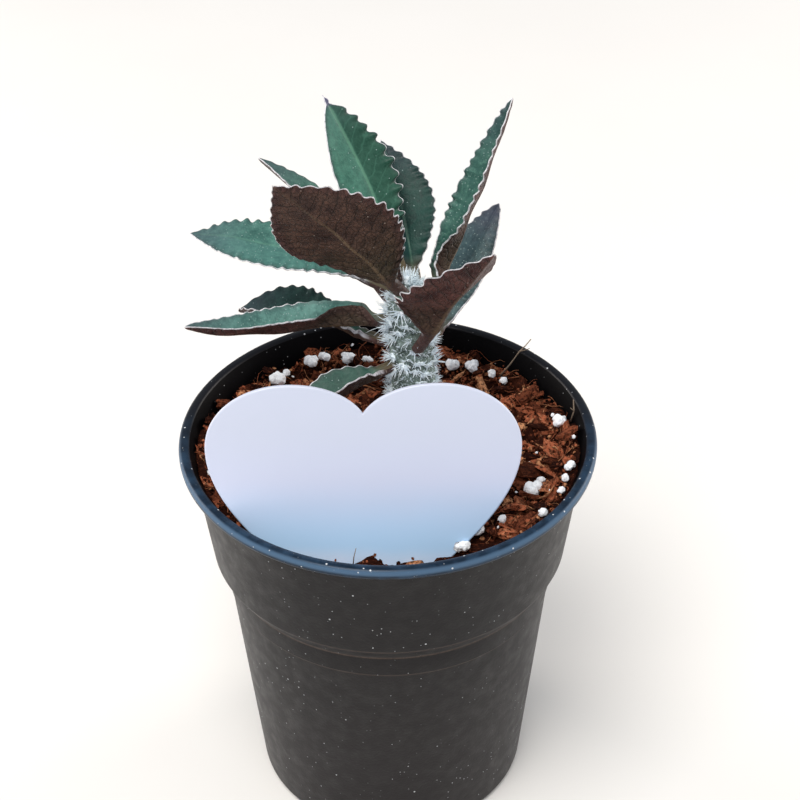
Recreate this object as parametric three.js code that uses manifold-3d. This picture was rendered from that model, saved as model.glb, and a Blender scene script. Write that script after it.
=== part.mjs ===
// Potted Euphorbia suzannae-marnierae: a tapered nursery pot filled with chip compost, one short
// bristly stem with crisped leaves, and a bare heart-shaped label standing in the compost.
// Millimetres, +Z up, origin at the centre of the pot's underside. The viewer's side is -Y.

import * as THREE from 'three';
import { mergeVertices } from 'three/addons/utils/BufferGeometryUtils.js';
import Module from 'manifold-3d';

const wasm = await Module();
wasm.setup();

// Space left between neighbouring pieces
const GAP = 0.3;

// Pot: a rounded lip, a wide collar, a step in, and a tapered body with drain holes
const POT = {
  height: 92.5,
  rimRadius: 45,
  lipWidth: 2.4,
  lipHeight: 2.6,
  collarTopRadius: 42.5,
  collarFootRadius: 39.2,
  collarDepth: 27.6,
  shoulderRadius: 36.6,
  shoulderDepth: 31.6,
  ridgeRadius: 35.9,
  ridgeDepth: 36.9,
  ridgeStep: 0.3,
  baseRadius: 30.7,
  cornerRadius: 2,
  wall: 1.3,
  floor: 1.6,
  sides: 48,
  holes: 6,
  holeRadius: 3,
  holeRing: 20,
};

// Compost: coarse coir chips with white perlite grains pressed into them
const SOIL = {
  belowRim: 6.9,
  fall: 0.02,
  mound: 0.8,
  frontDrop: 3.2,
  frontDropFrom: 24,
  frontDropTo: 33,
  backBank: 1.0,
  sideBank: 4.4,
  narrowFront: 1.5,
  narrowBack: 12,
  bankFrom: 34,
  bankTo: 41,
  relief: 0.7,
  rings: [0, 8, 15, 21, 27, 32, 36.5],
  edgeSlack: 0.5,
  chips: 46,
  chipLength: [3.0, 6.0],
  chipWidth: [1.8, 3.4],
  chipThickness: [1.2, 2.0],
  chipReach: 35,
  frontMargin: 6,
  seed: 11,
};

// Perlite grains on the surface: place across and along, and width
const PERLITE = [
  [-17.4, 32.3, 2.8], [-14.5, 34.2, 2.4], [-9, 34.7, 2.8], [-4.5, 34.6, 2.2], [-22.9, 28.1, 1.8],
  [-24.9, 26, 3.2], [15, 31.7, 2.8], [19.5, 30.9, 2.8], [23.9, 27.3, 1.8], [26.4, 25.1, 1.8],
  [37.7, 7.7, 2.7], [38.3, -9.7, 2.3], [37.3, -13.1, 1.8], [32.5, -9, 1.8], [30.5, -13, 3.4],
  [36.2, -17, 1.8], [31.9, -23.2, 1.9], [23.5, -22.5, 1.9], [18, -25.5, 3.0], [15, -28.5, 2.9],
  [-36.8, -9.1, 2.6], [-32.8, -18.3, 1.9], [-29.1, -25.4, 1.8], [-12, 12, 2.2], [18, 10, 2.4],
];

// Stem: a short club that leans a little, on a tapering root; heights count from the rim's level
const STEM = {
  footHeight: -10,
  footPlace: [6.6, 6.0],
  topHeight: 34,
  topPlace: [4.4, 6.6],
  sides: 14,
  profile: [
    [-28, 1.6], [-20, 3.2], [-12, 4.7], [-7, 5.0], [-1, 4.9], [7, 4.7], [15, 4.6], [22, 4.5],
    [28, 4.3], [31.5, 3.8], [33.8, 2.6],
  ],
  tip: 34.8,
};

// Tufts of white bristles all over the stem
const TUFT = {
  firstHeight: -2,
  lastHeight: 33,
  seats: 52,
  bristles: 3,
  bristleRadius: 0.34,
  length: [2.0, 3.0],
  sunk: 0.7,
  spread: 0.75,
  crown: 9,
  crownRadius: 2.2,
  clearOfLeaf: 1.45,
  seed: 5,
};

// Leaf blades: stalk section, thickness, and the crisped margin shared by all leaves
const BLADE = {
  columns: [-1, -0.6, 0, 0.6, 1],
  stalkWidth: 3.0,
  stalkThickness: 2.2,
  top: 0.3,
  keel: 0.9,
  field: 0.45,
  margin: 0.5,
  tipHalfWidth: 0.35,
  waveLength: 2.5,
  waveHeight: 0.45,
  tooth: 0.3,
  rootInStem: 2,
  seatRadius: 4.4,
};

// Every leaf: height of its seat above the rim, compass seat on the stem, heading and rise where it
// starts (degrees, heading counted from +X over +Y), how both change along it, and how late its rise
// does so (bend), length and width, roll about its own midrib and how that changes, how far its
// halves fold up, how much more they do near the base, where that has ended and where the fold is
// complete, its stalk's share of the length, where the blade is widest, how full the outline is, and
// how strong the crisping of either margin is.
const COMMON = {
  swing: 0, curl: 0, bend: 1, roll: 0, twist: 0, fold: 15, baseFold: 0, unfolded: 0.6,
  foldedFrom: 0.3, stalk: 0.1, widest: 0.5, fullness: 0.85, crispLeft: 0.6, crispRight: 0.6,
};
const LEAVES = {
  leaf_back_tall: {
    height: 33, seat: 103, seatRadius: 3.2, heading: 124.7, swing: 21.2, rise: 61, curl: -8,
    roll: -8, twist: -5.6, length: 41.9, width: 14.1, fold: 6, widest: 0.54, fullness: 0.92,
    crispLeft: 0.3, crispRight: 1.2,
  },
  leaf_back_middle: {
    height: 30, seat: 64, seatRadius: 3.6, heading: 97.4, swing: 16.9, rise: 48.3, curl: -10.8,
    roll: -8.7, twist: 5.1, length: 33.9, width: 14.8, fold: 20, fullness: 1, crispRight: 0.8,
  },
  leaf_right_tall: {
    height: 29.2, seat: 19, heading: 18.1, swing: 12.5, rise: 62.1, curl: 8.5, roll: 2,
    twist: 0.3, length: 46.9, width: 9.6, fold: 52, baseFold: 25, unfolded: 0.43, foldedFrom: 0.2,
    stalk: 0.07, widest: 0.39, fullness: 0.65, crispLeft: 0.9, crispRight: 0.9,
  },
  leaf_right_back: {
    height: 17.7, seat: 24, heading: 54.6, swing: -1.2, rise: 37.4, curl: 4.2, roll: 2.2,
    twist: -1.4, length: 34.1, width: 11.6, fold: 23, widest: 0.47, fullness: 0.71,
    crispLeft: 0.4, crispRight: 0.4,
  },
  leaf_right_front: {
    height: 21.4, seat: 292.6, heading: 304.8, swing: 33.1, rise: 57.5, curl: -0.4, roll: -8.1,
    twist: -14, length: 35.4, width: 26.6, fold: 18, baseFold: 10, stalk: 0.14, widest: 0.51,
    fullness: 1.11, crispLeft: 0.4, crispRight: 1.2,
  },
  leaf_left_front: {
    height: 33, seat: 264, seatRadius: 3, heading: 228, swing: -19.8, rise: 53.3, curl: -6.8,
    roll: 35.3, twist: 24, length: 49.9, width: 24.5, fold: 5, stalk: 0.12, widest: 0.52,
    fullness: 1.02, crispLeft: 0.8, crispRight: 0.8,
  },
  leaf_left_upper: {
    height: 31.4, seat: 145, seatRadius: 4, heading: 176, swing: -14.3, rise: 30.3, curl: -37.3,
    roll: -3.4, twist: 1.9, length: 44.9, width: 15.9, fold: 2, widest: 0.58, fullness: 0.92,
    crispLeft: 0.7, crispRight: 0.4,
  },
  leaf_left_back: {
    height: 27.8, seat: 136.6, heading: 134, swing: 8.6, rise: 34.4, curl: -12.5, roll: 28,
    length: 43.5, width: 14.9, fold: 20, widest: 0.51, crispLeft: 0.35, crispRight: 0.35,
  },
  leaf_left_lower: {
    height: 25.1, seat: 163, heading: 192.9, swing: 17.4, rise: 2.9, curl: 34.3, bend: 3, roll: 5.9,
    twist: -8.7, length: 46.1, width: 10.7, fold: 50, baseFold: 26, unfolded: 0.4, foldedFrom: 0.14,
    stalk: 0.04, widest: 0.38, fullness: 0.56, crispLeft: 0.3, crispRight: 0.5,
  },
  leaf_left_behind: {
    height: 18.8, seat: 163, heading: 160, swing: -3.5, rise: 10, curl: -22, roll: 11, length: 36,
    width: 17.6, fold: 28, widest: 0.64, fullness: 0.83, crispLeft: 0.7, crispRight: 0.9,
  },
  leaf_left_small: {
    height: 15.3, seat: 203, heading: 205, swing: 10.3, rise: -12, curl: -25.7, roll: 10.5,
    twist: -1.8, length: 23, width: 13, fold: 47, widest: 0.6, fullness: 0.7,
    crispLeft: 0.5, crispRight: 0.5,
  },
  leaf_youngest: {
    height: 33, seat: 215, heading: 190, rise: 76, length: 9, width: 3.4, fold: 30, seatRadius: 1.2,
  },
};

// Heart label: a thin plate whose point is pushed into the compost, leaning back from the viewer
const LABEL = {
  centreX: -5,
  frontY: -30,
  footHeight: 82.5,
  lean: 20,
  thickness: 1.2,
  halfWidth: 32.2,
  extremeHeight: 23.5,
  lobeHalf: 15,
  lobeHeight: 37.7,
  cleftHeight: 31.6,
  pointDepth: 14,
};

const RIM_LEVEL = POT.height;
const SOIL_LEVEL = POT.height - SOIL.belowRim;

const { degToRad, lerp, smoothstep } = THREE.MathUtils;

function randomSource(seed) {
  let state = seed;
  return () => {
    state = (state * 1664525 + 1013904223) % 4294967296;
    return state / 4294967296;
  };
}

// A closed geometry as a solid: shared vertices merged, triangles of no area dropped
function solidOf(geometry) {
  const bare = geometry.clone();
  bare.deleteAttribute('normal');
  bare.deleteAttribute('uv');
  const merged = mergeVertices(bare, 1e-4);
  const corners = merged.index.array;
  const kept = [];
  for (let i = 0; i < corners.length; i += 3) {
    const [a, b, c] = [corners[i], corners[i + 1], corners[i + 2]];
    if (a !== b && b !== c && c !== a) kept.push(a, b, c);
  }
  return new wasm.Manifold(new wasm.Mesh({
    numProp: 3,
    vertProperties: new Float32Array(merged.attributes.position.array),
    triVerts: new Uint32Array(kept),
  }));
}

function geometryOf(solid) {
  const mesh = solid.getMesh();
  const geometry = new THREE.BufferGeometry();
  geometry.setAttribute('position', new THREE.BufferAttribute(mesh.vertProperties, 3));
  geometry.setIndex(new THREE.BufferAttribute(mesh.triVerts, 1));
  geometry.computeVertexNormals();
  return geometry;
}

function joined(solids) {
  let layer = solids;
  while (layer.length > 1) {
    const next = [];
    for (let i = 0; i < layer.length; i += 2) {
      next.push(i + 1 < layer.length ? layer[i].add(layer[i + 1]) : layer[i]);
    }
    layer = next;
  }
  return layer[0];
}

// The main body of a solid, without the crumbs and pockets that cuts leave
function mainBody(solid) {
  return solid.decompose().sort((a, b) => b.volume() - a.volume())[0];
}

// A profile of [radius, height] pairs, from the axis round to the axis, turned about +Z
function turned(profile, sides) {
  const points = profile.map(([radius, height]) => new THREE.Vector2(radius, height));
  return new THREE.LatheGeometry(points, sides).rotateX(Math.PI / 2);
}

// Inner wall of the pot, from the floor's edge up to the lip
function innerWall() {
  const { wall, height } = POT;
  return [
    [POT.baseRadius - wall, POT.floor],
    [POT.shoulderRadius - wall, height - POT.shoulderDepth - wall],
    [POT.collarFootRadius - wall, height - POT.collarDepth - wall],
    [POT.collarTopRadius - wall, height - POT.lipHeight - wall],
  ];
}

function potSolid() {
  const { height, rimRadius, lipWidth, lipHeight, cornerRadius, baseRadius } = POT;
  const lipRound = 0.6;
  const outline = [
    [0, 0],
    [baseRadius - cornerRadius, 0],
    [baseRadius - cornerRadius * 0.3, cornerRadius * 0.3],
    [baseRadius, cornerRadius],
    [POT.ridgeRadius, height - POT.ridgeDepth - POT.ridgeStep],
    [POT.ridgeRadius + POT.ridgeStep, height - POT.ridgeDepth],
    [POT.shoulderRadius, height - POT.shoulderDepth],
    [POT.collarFootRadius - 0.4, height - POT.collarDepth - 0.8],
    [POT.collarFootRadius, height - POT.collarDepth],
    [POT.collarTopRadius, height - lipHeight],
    [rimRadius - lipRound, height - lipHeight],
    [rimRadius, height - lipHeight + lipRound],
    [rimRadius, height - lipRound],
    [rimRadius - lipRound, height],
    [rimRadius - lipWidth + lipRound, height],
    [rimRadius - lipWidth, height - lipRound],
    ...innerWall().reverse(),
    [0, POT.floor],
  ];
  let pot = solidOf(turned(outline, POT.sides));
  for (let i = 0; i < POT.holes; i += 1) {
    const angle = (i + 0.5) * 2 * Math.PI / POT.holes;
    const hole = new THREE.CylinderGeometry(POT.holeRadius, POT.holeRadius, POT.floor * 4, 14)
      .rotateX(Math.PI / 2)
      .translate(POT.holeRing * Math.cos(angle), POT.holeRing * Math.sin(angle), 0);
    pot = pot.subtract(solidOf(hole));
  }
  return pot;
}

// Surface of the compost: a low uneven mound, banked up against the wall, most of all at the sides,
// and lower between the label and the front wall
function soilHeight(x, y) {
  const reach = Math.hypot(x, y);
  const radius = reach / POT.collarTopRadius;
  const sideways = Math.abs(x) / Math.max(reach, 1);
  const narrow = y > 0 ? SOIL.narrowBack : SOIL.narrowFront;
  const bank = lerp(SOIL.backBank, SOIL.sideBank, sideways ** narrow)
    * smoothstep(reach, SOIL.bankFrom, SOIL.bankTo);
  const grain = Math.sin(0.83 * x + 1.7) * Math.sin(0.71 * y + 0.4)
    + 0.6 * Math.sin(0.39 * x - 0.52 * y);
  const drop = SOIL.frontDrop * smoothstep(-y, SOIL.frontDropFrom, SOIL.frontDropTo);
  const mound = SOIL.mound * (1 - radius * radius);
  return SOIL_LEVEL + SOIL.fall * y + mound + bank + SOIL.relief * grain - drop;
}

function chipSolid(random) {
  const size = [SOIL.chipLength, SOIL.chipWidth, SOIL.chipThickness].map(
    ([least, most]) => lerp(least, most, random()),
  );
  const reach = SOIL.chipReach * Math.sqrt(random());
  const angle = 2 * Math.PI * random();
  const x = reach * Math.cos(angle);
  const y = reach * Math.sin(angle);
  const tilt = new THREE.Euler(0.9 * (random() - 0.5), 0.9 * (random() - 0.5), Math.PI * random());
  const turn = new THREE.Matrix4().makeRotationFromEuler(tilt);
  const chip = new THREE.BoxGeometry(...size).applyMatrix4(turn);
  const proud = y < LABEL.frontY + SOIL.frontMargin ? -0.3 : 0.25;
  return solidOf(chip.translate(x, y, soilHeight(x, y) + proud * size[2]));
}

function perliteSolid([x, y, width], random) {
  const grain = new THREE.IcosahedronGeometry(width / 2, 0)
    .rotateX(Math.PI * random())
    .rotateZ(Math.PI * random());
  return solidOf(grain.translate(x, y, soilHeight(x, y) + 0.4 * width));
}

function soilSolid() {
  const random = randomSource(SOIL.seed);
  const wall = innerWall().map(([radius, height]) => [radius - GAP, height]);
  const [foot, shoulder, collarFoot, collarTop] = wall;
  const rise = (SOIL_LEVEL - collarFoot[1]) / (collarTop[1] - collarFoot[1]);
  const edge = lerp(collarFoot[0], collarTop[0], rise) - SOIL.edgeSlack;
  const outline = [
    [0, foot[1] + GAP],
    [foot[0], foot[1] + GAP],
    shoulder,
    collarFoot,
    [edge, SOIL_LEVEL],
    ...SOIL.rings.map((radius) => [radius, SOIL_LEVEL]).reverse(),
  ];
  const body = turned(outline, POT.sides);
  const place = body.attributes.position;
  for (let i = 0; i < place.count; i += 1) {
    const onTop = Math.abs(place.getZ(i) - SOIL_LEVEL) < 1e-3;
    if (onTop) place.setZ(i, soilHeight(place.getX(i), place.getY(i)));
  }
  const pieces = [solidOf(body)];
  for (let i = 0; i < SOIL.chips; i += 1) pieces.push(chipSolid(random));
  for (const grain of PERLITE) pieces.push(perliteSolid(grain, random));
  return mainBody(joined(pieces).subtract(stemCore(GAP)).subtract(labelSolid(GAP)));
}

// Centre line of the stem at a height above the rim's level
function stemAxis(height) {
  const share = (height - STEM.footHeight) / (STEM.topHeight - STEM.footHeight);
  return new THREE.Vector3(
    lerp(STEM.footPlace[0], STEM.topPlace[0], share),
    lerp(STEM.footPlace[1], STEM.topPlace[1], share),
    RIM_LEVEL + height,
  );
}

function stemRadius(height) {
  const { profile } = STEM;
  for (let i = 1; i < profile.length; i += 1) {
    const [low, lowRadius] = profile[i - 1];
    const [high, highRadius] = profile[i];
    if (height <= high) return lerp(lowRadius, highRadius, Math.max(0, (height - low) / (high - low)));
  }
  return profile[profile.length - 1][1];
}

// The bare stem, or the room that it takes when grown by a clearance
function stemCore(clearance) {
  const outline = [
    [0, STEM.profile[0][0] - 1 - clearance],
    ...STEM.profile.map(([height, radius]) => [radius + clearance, height]),
    [0, STEM.tip + clearance],
  ];
  const core = turned(outline, STEM.sides);
  const place = core.attributes.position;
  for (let i = 0; i < place.count; i += 1) {
    const centre = stemAxis(place.getZ(i));
    place.setXYZ(i, place.getX(i) + centre.x, place.getY(i) + centre.y, centre.z);
  }
  return solidOf(core);
}

function bristleSolid(root, direction, length) {
  const cone = new THREE.ConeGeometry(TUFT.bristleRadius, length + TUFT.sunk, 3);
  cone.translate(0, (length + TUFT.sunk) / 2 - TUFT.sunk, 0);
  const turn = new THREE.Quaternion().setFromUnitVectors(new THREE.Vector3(0, 1, 0), direction);
  return solidOf(cone.applyQuaternion(turn).translate(root.x, root.y, root.z));
}

// Whether a bristle keeps clear of every leaf
function clearOfLeaves(root, tip, leafPoints) {
  for (const share of [0, 0.5, 1]) {
    const probe = root.clone().lerp(tip, share);
    if (leafPoints.some((point) => point.distanceTo(probe) < TUFT.clearOfLeaf)) return false;
  }
  return true;
}

function stemSolid(leafPoints) {
  const random = randomSource(TUFT.seed);
  const pieces = [stemCore(0)];
  const seats = [];
  const goldenAngle = Math.PI * (3 - Math.sqrt(5));
  for (let i = 0; i < TUFT.seats; i += 1) {
    const share = (i + random()) / TUFT.seats;
    const height = lerp(TUFT.firstHeight, TUFT.lastHeight, share);
    const angle = i * goldenAngle;
    const outward = new THREE.Vector3(Math.cos(angle), Math.sin(angle), 0.25);
    seats.push([height, outward, stemRadius(height)]);
  }
  for (let i = 0; i < TUFT.crown; i += 1) {
    const angle = i * goldenAngle;
    const lean = TUFT.crownRadius * Math.sqrt((i + 0.5) / TUFT.crown);
    seats.push([STEM.tip - 1, new THREE.Vector3(Math.cos(angle), Math.sin(angle), 2.2), lean]);
  }
  for (const [height, outward, radius] of seats) {
    const level = new THREE.Vector3(outward.x, outward.y, 0).normalize();
    const root = stemAxis(height).addScaledVector(level, radius);
    for (let j = 0; j < TUFT.bristles; j += 1) {
      const scatter = new THREE.Vector3(random() - 0.5, random() - 0.5, random() - 0.5);
      const direction = outward.clone().normalize().addScaledVector(scatter, 2 * TUFT.spread);
      if (direction.dot(outward) < 0.4) direction.copy(outward);
      direction.normalize();
      const length = lerp(...TUFT.length, random());
      const tip = root.clone().addScaledVector(direction, length);
      if (clearOfLeaves(root, tip, leafPoints)) pieces.push(bristleSolid(root, direction, length));
    }
  }
  return joined(pieces);
}

// Half the leaf's width at a share of its length
function halfWidth(leaf, share) {
  const along = Math.min(1, Math.max(0, (share - leaf.stalk) / (1 - leaf.stalk)));
  const skew = Math.log(0.5) / Math.log(leaf.widest);
  const blade = leaf.width / 2 * Math.sin(Math.PI * along ** skew) ** leaf.fullness;
  const stalk = BLADE.stalkWidth / 2 * (1 - smoothstep(share, leaf.stalk, leaf.stalk + 0.25));
  return Math.max(blade, Math.min(stalk, leaf.width / 2), BLADE.tipHalfWidth);
}

// Direction of the midrib and the blade's own side and upper directions at a share of its length
function leafFrame(leaf, share) {
  const heading = degToRad(leaf.heading + leaf.swing * share);
  const rise = degToRad(leaf.rise + leaf.curl * share ** leaf.bend);
  const forward = new THREE.Vector3(
    Math.cos(rise) * Math.cos(heading),
    Math.cos(rise) * Math.sin(heading),
    Math.sin(rise),
  );
  const level = new THREE.Vector3(-Math.sin(heading), Math.cos(heading), 0);
  const above = new THREE.Vector3().crossVectors(forward, level);
  const roll = degToRad(leaf.roll + leaf.twist * share);
  const side = level.clone().multiplyScalar(Math.cos(roll)).addScaledVector(above, Math.sin(roll));
  const up = above.clone().multiplyScalar(Math.cos(roll)).addScaledVector(level, -Math.sin(roll));
  return { forward, side, up };
}

// Midrib points from inside the stem to the tip, one row for each half wave of the margin
function leafRows(leaf) {
  const count = 2 * Math.round(leaf.length / BLADE.waveLength);
  const step = leaf.length / count;
  const seat = degToRad(leaf.seat);
  const start = stemAxis(leaf.height);
  start.x += leaf.seatRadius * Math.cos(seat);
  start.y += leaf.seatRadius * Math.sin(seat);
  const first = leafFrame(leaf, 0);
  const rows = [{
    share: 0,
    crest: 0,
    point: start.clone().addScaledVector(first.forward, -BLADE.rootInStem),
    ...first,
  }];
  const point = start.clone();
  for (let i = 0; i <= count; i += 1) {
    const share = i / count;
    rows.push({ share, crest: i % 2 ? 1 : -1, point: point.clone(), ...leafFrame(leaf, share) });
    point.addScaledVector(leafFrame(leaf, share + 0.5 / count).forward, step);
  }
  return rows;
}

// Upper and lower face points of one row
function leafSection(leaf, row) {
  const { share } = row;
  const fade = smoothstep(share, leaf.stalk, leaf.stalk + 0.15) * (1 - smoothstep(share, 0.9, 1));
  const extra = leaf.baseFold * (1 - smoothstep(share, 0.25, leaf.unfolded));
  const fold = degToRad(leaf.fold + extra) * smoothstep(share, 0.05, leaf.foldedFrom);
  const opened = smoothstep(share, leaf.stalk, leaf.stalk + 0.3);
  const thin = smoothstep(share, 0.5, 1);
  const keel = lerp(BLADE.stalkThickness - BLADE.top, lerp(BLADE.keel, BLADE.margin, thin), opened);
  const field = lerp(0.65 * BLADE.stalkThickness - BLADE.top, BLADE.field, opened);
  return BLADE.columns.map((column) => {
    const hand = Math.sign(column);
    const isMargin = Math.abs(column) === 1;
    const crisp = fade * (hand > 0 ? leaf.crispLeft : leaf.crispRight);
    const half = halfWidth(leaf, share) + BLADE.tooth * crisp * Math.max(0, row.crest);
    const normal = row.up.clone().multiplyScalar(hand ? Math.cos(fold) : 1)
      .addScaledVector(row.side, -hand * Math.sin(fold));
    const wave = BLADE.waveHeight * crisp * row.crest * (isMargin ? 1 : 0.15 * Math.abs(hand));
    const middle = row.point.clone()
      .addScaledVector(row.side, column * half * Math.cos(fold))
      .addScaledVector(row.up, Math.abs(column) * half * Math.sin(fold))
      .addScaledVector(normal, wave);
    const below = hand === 0 ? keel : (isMargin ? BLADE.margin : field);
    return {
      upper: middle.clone().addScaledVector(normal, BLADE.top),
      lower: middle.clone().addScaledVector(normal, -below),
    };
  });
}

// A closed blade from its rows: both faces split alike, with side and end strips
function leafSolid(leaf) {
  const sections = leafRows(leaf).map((row) => leafSection(leaf, row));
  const columns = BLADE.columns.length;
  const positions = [];
  for (const section of sections) {
    for (const { upper } of section) positions.push(...upper.toArray());
    for (const { lower } of section) positions.push(...lower.toArray());
  }
  const upperAt = (row, column) => row * 2 * columns + column;
  const lowerAt = (row, column) => upperAt(row, column) + columns;
  const index = [];
  const quad = (a, b, c, d) => index.push(a, b, c, a, c, d);
  const lastRow = sections.length - 1;
  const lastColumn = columns - 1;
  for (let row = 0; row < lastRow; row += 1) {
    for (let column = 0; column < lastColumn; column += 1) {
      const corners = [[row, column], [row + 1, column], [row + 1, column + 1], [row, column + 1]];
      const [a, b, c, d] = corners.map((corner) => upperAt(...corner));
      const [e, f, g, h] = corners.map((corner) => lowerAt(...corner));
      index.push(a, b, c, a, c, d, e, g, f, e, h, g);
    }
    quad(lowerAt(row, 0), lowerAt(row + 1, 0), upperAt(row + 1, 0), upperAt(row, 0));
    quad(upperAt(row, lastColumn), upperAt(row + 1, lastColumn),
      lowerAt(row + 1, lastColumn), lowerAt(row, lastColumn));
  }
  for (let column = 0; column < lastColumn; column += 1) {
    quad(upperAt(0, column), upperAt(0, column + 1), lowerAt(0, column + 1), lowerAt(0, column));
    quad(lowerAt(lastRow, column), lowerAt(lastRow, column + 1),
      upperAt(lastRow, column + 1), upperAt(lastRow, column));
  }
  const geometry = new THREE.BufferGeometry();
  geometry.setAttribute('position', new THREE.Float32BufferAttribute(positions, 3));
  geometry.setIndex(index);
  return solidOf(geometry).subtract(stemCore(GAP));
}

// Points all over a leaf, for the bristles to keep away from
function leafSurfacePoints(leaf) {
  return leafRows(leaf)
    .flatMap((row) => leafSection(leaf, row))
    .flatMap(({ upper, lower }) => [upper, lower]);
}

// The label's plate, or the slot that it needs when grown by a clearance
function labelSolid(clearance) {
  const { halfWidth: half, extremeHeight, lobeHalf, lobeHeight, cleftHeight, pointDepth } = LABEL;
  const heart = new THREE.Shape();
  heart.moveTo(0, -pointDepth);
  heart.bezierCurveTo(12, -5, half - 0.7, 9, half, extremeHeight);
  heart.bezierCurveTo(half + 0.6, lobeHeight - 6, 25, lobeHeight, lobeHalf, lobeHeight);
  heart.bezierCurveTo(8, lobeHeight, 2.5, lobeHeight - 2.5, 0, cleftHeight);
  heart.bezierCurveTo(-2.5, lobeHeight - 2.5, -8, lobeHeight, -lobeHalf, lobeHeight);
  heart.bezierCurveTo(-25, lobeHeight, -half - 0.6, lobeHeight - 6, -half, extremeHeight);
  heart.bezierCurveTo(-half + 0.7, 9, -12, -5, 0, -pointDepth);
  const depth = LABEL.thickness + 2 * clearance;
  const plate = new THREE.ExtrudeGeometry(heart, { depth, bevelEnabled: false, curveSegments: 9 });
  const growth = 1 + 3 * clearance / half;
  plate.translate(0, 0, clearance - depth).scale(growth, growth, 1);
  plate.rotateX(degToRad(90 - LABEL.lean));
  return solidOf(plate.translate(LABEL.centreX, LABEL.frontY, LABEL.footHeight));
}

function pieceOf(name, solid, colour, roughness) {
  const material = new THREE.MeshStandardMaterial({ color: colour, roughness, metalness: 0 });
  const mesh = new THREE.Mesh(geometryOf(solid), material);
  mesh.name = name;
  return mesh;
}

const leaves = Object.entries(LEAVES).map(([name, shape]) => [
  name,
  { ...COMMON, seatRadius: BLADE.seatRadius, ...shape },
]);
const leafPoints = leaves.flatMap(([, leaf]) => leafSurfacePoints(leaf));

const plant = new THREE.Group();
plant.add(pieceOf('pot', potSolid(), 0x37343a, 0.6));
plant.add(pieceOf('soil', soilSolid(), 0x6b3620, 0.95));
plant.add(pieceOf('stem', stemSolid(leafPoints), 0xb9c4bb, 0.85));
for (const [name, leaf] of leaves) plant.add(pieceOf(name, leafSolid(leaf), 0x3f6b57, 0.55));
plant.add(pieceOf('label', labelSolid(0), 0xe2e4f2, 0.35));

export default plant;
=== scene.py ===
"""Looks of a potted Euphorbia suzannae-marnierae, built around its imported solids.

Shapes are worked out in millimetres in the frame of the part, with +Z up, the origin under the pot and
the viewer on the -Y side. Heights of the plant count from the pot's rim. Meshes are stored in metres.
"""

import math

import bmesh
import bpy
import numpy as np
from mathutils import Matrix, Vector, kdtree, noise


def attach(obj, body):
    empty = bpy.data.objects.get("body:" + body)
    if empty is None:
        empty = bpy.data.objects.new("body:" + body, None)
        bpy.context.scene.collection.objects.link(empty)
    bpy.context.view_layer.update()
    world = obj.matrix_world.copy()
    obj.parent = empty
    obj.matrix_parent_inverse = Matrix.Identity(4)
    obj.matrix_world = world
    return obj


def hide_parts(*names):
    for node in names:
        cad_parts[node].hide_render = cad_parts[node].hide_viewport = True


MM = 0.001

RIM_LEVEL = 92.5
SOIL_LEVEL = RIM_LEVEL - 6.9

# Camera of the photograph: where it stands, what it looks along, and its own up direction
CAMERA_PLACE = (0.0, -341.88, 354.71)
CAMERA_FORWARD = (0.00631, 0.80337, -0.59545)
CAMERA_UP = (0.01394, 0.59533, 0.80336)
CAMERA_LENS = 90
CAMERA_SENSOR = 36

# Pot: outer profile from the underside's centre up, over the lip and down the inner wall
POT_OUTSIDE = [
    (0, 0), (28.6, 0), (29.4, 0.15), (30.1, 0.6), (30.5, 1.2), (30.7, 2.0), (35.9, 55.2), (36.05, 55.4),
    (36.2, 55.7), (36.55, 60.7), (36.7, 61.2), (38.5, 64.1), (38.9, 64.6), (39.15, 65.2), (42.3, 89.3),
    (42.6, 89.8), (44.1, 89.9), (44.6, 90.1), (44.9, 90.5), (45, 91.0), (45, 91.5), (44.85, 92.0),
    (44.5, 92.35), (44.1, 92.5), (43.3, 92.5), (42.9, 92.35), (42.65, 92.0),
]
POT_INSIDE = [(41.2, 88.6), (37.9, 63.6), (35.3, 59.6), (29.4, 1.6), (0, 1.6)]
POT_SIDES = 160
POT_SHARP_ANGLE = 50
DRAIN = {"count": 6, "radius": 3, "ring": 20, "sides": 20, "depth": 8}

# Where the wall counts as its inner side, which gets the material with painted shade: this near the inner
# profile, and between these heights
POT_INNER_SIDE = {"within": 0.15, "low": 1, "high": 92.1}

# Heights of the steps in the pot's wall that hold brown dust, and how much of it
POT_DUST_LINES = [(64.5, 0.8), (60.9, 0.7), (55.3, 0.4)]

# Compost: its surface is a low mound, banked up against the side walls and lower in front of the
# label. "wall" is the height and radius of its outside, "reach" how far from the axis litter lies
SOIL = {
    "fall": 0.02, "mound": 0.8, "mound_radius": 42.5, "relief": 0.7, "back_bank": 1.0,
    "side_bank": 4.4, "bank_from": 34, "bank_to": 41, "narrow_front": 1.5, "narrow_back": 12,
    "front_drop": 3.2, "front_from": 24, "front_to": 33, "reach": 40.6,
    "wall": [(1.9, 29.1), (59.6, 35.0), (63.6, 37.6), (88.6, 40.9), (92.0, 42.3)],
    "skin": 0.9, "rough": 0.55, "rings": 60, "sides": 160, "seed": 4,
}

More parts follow.
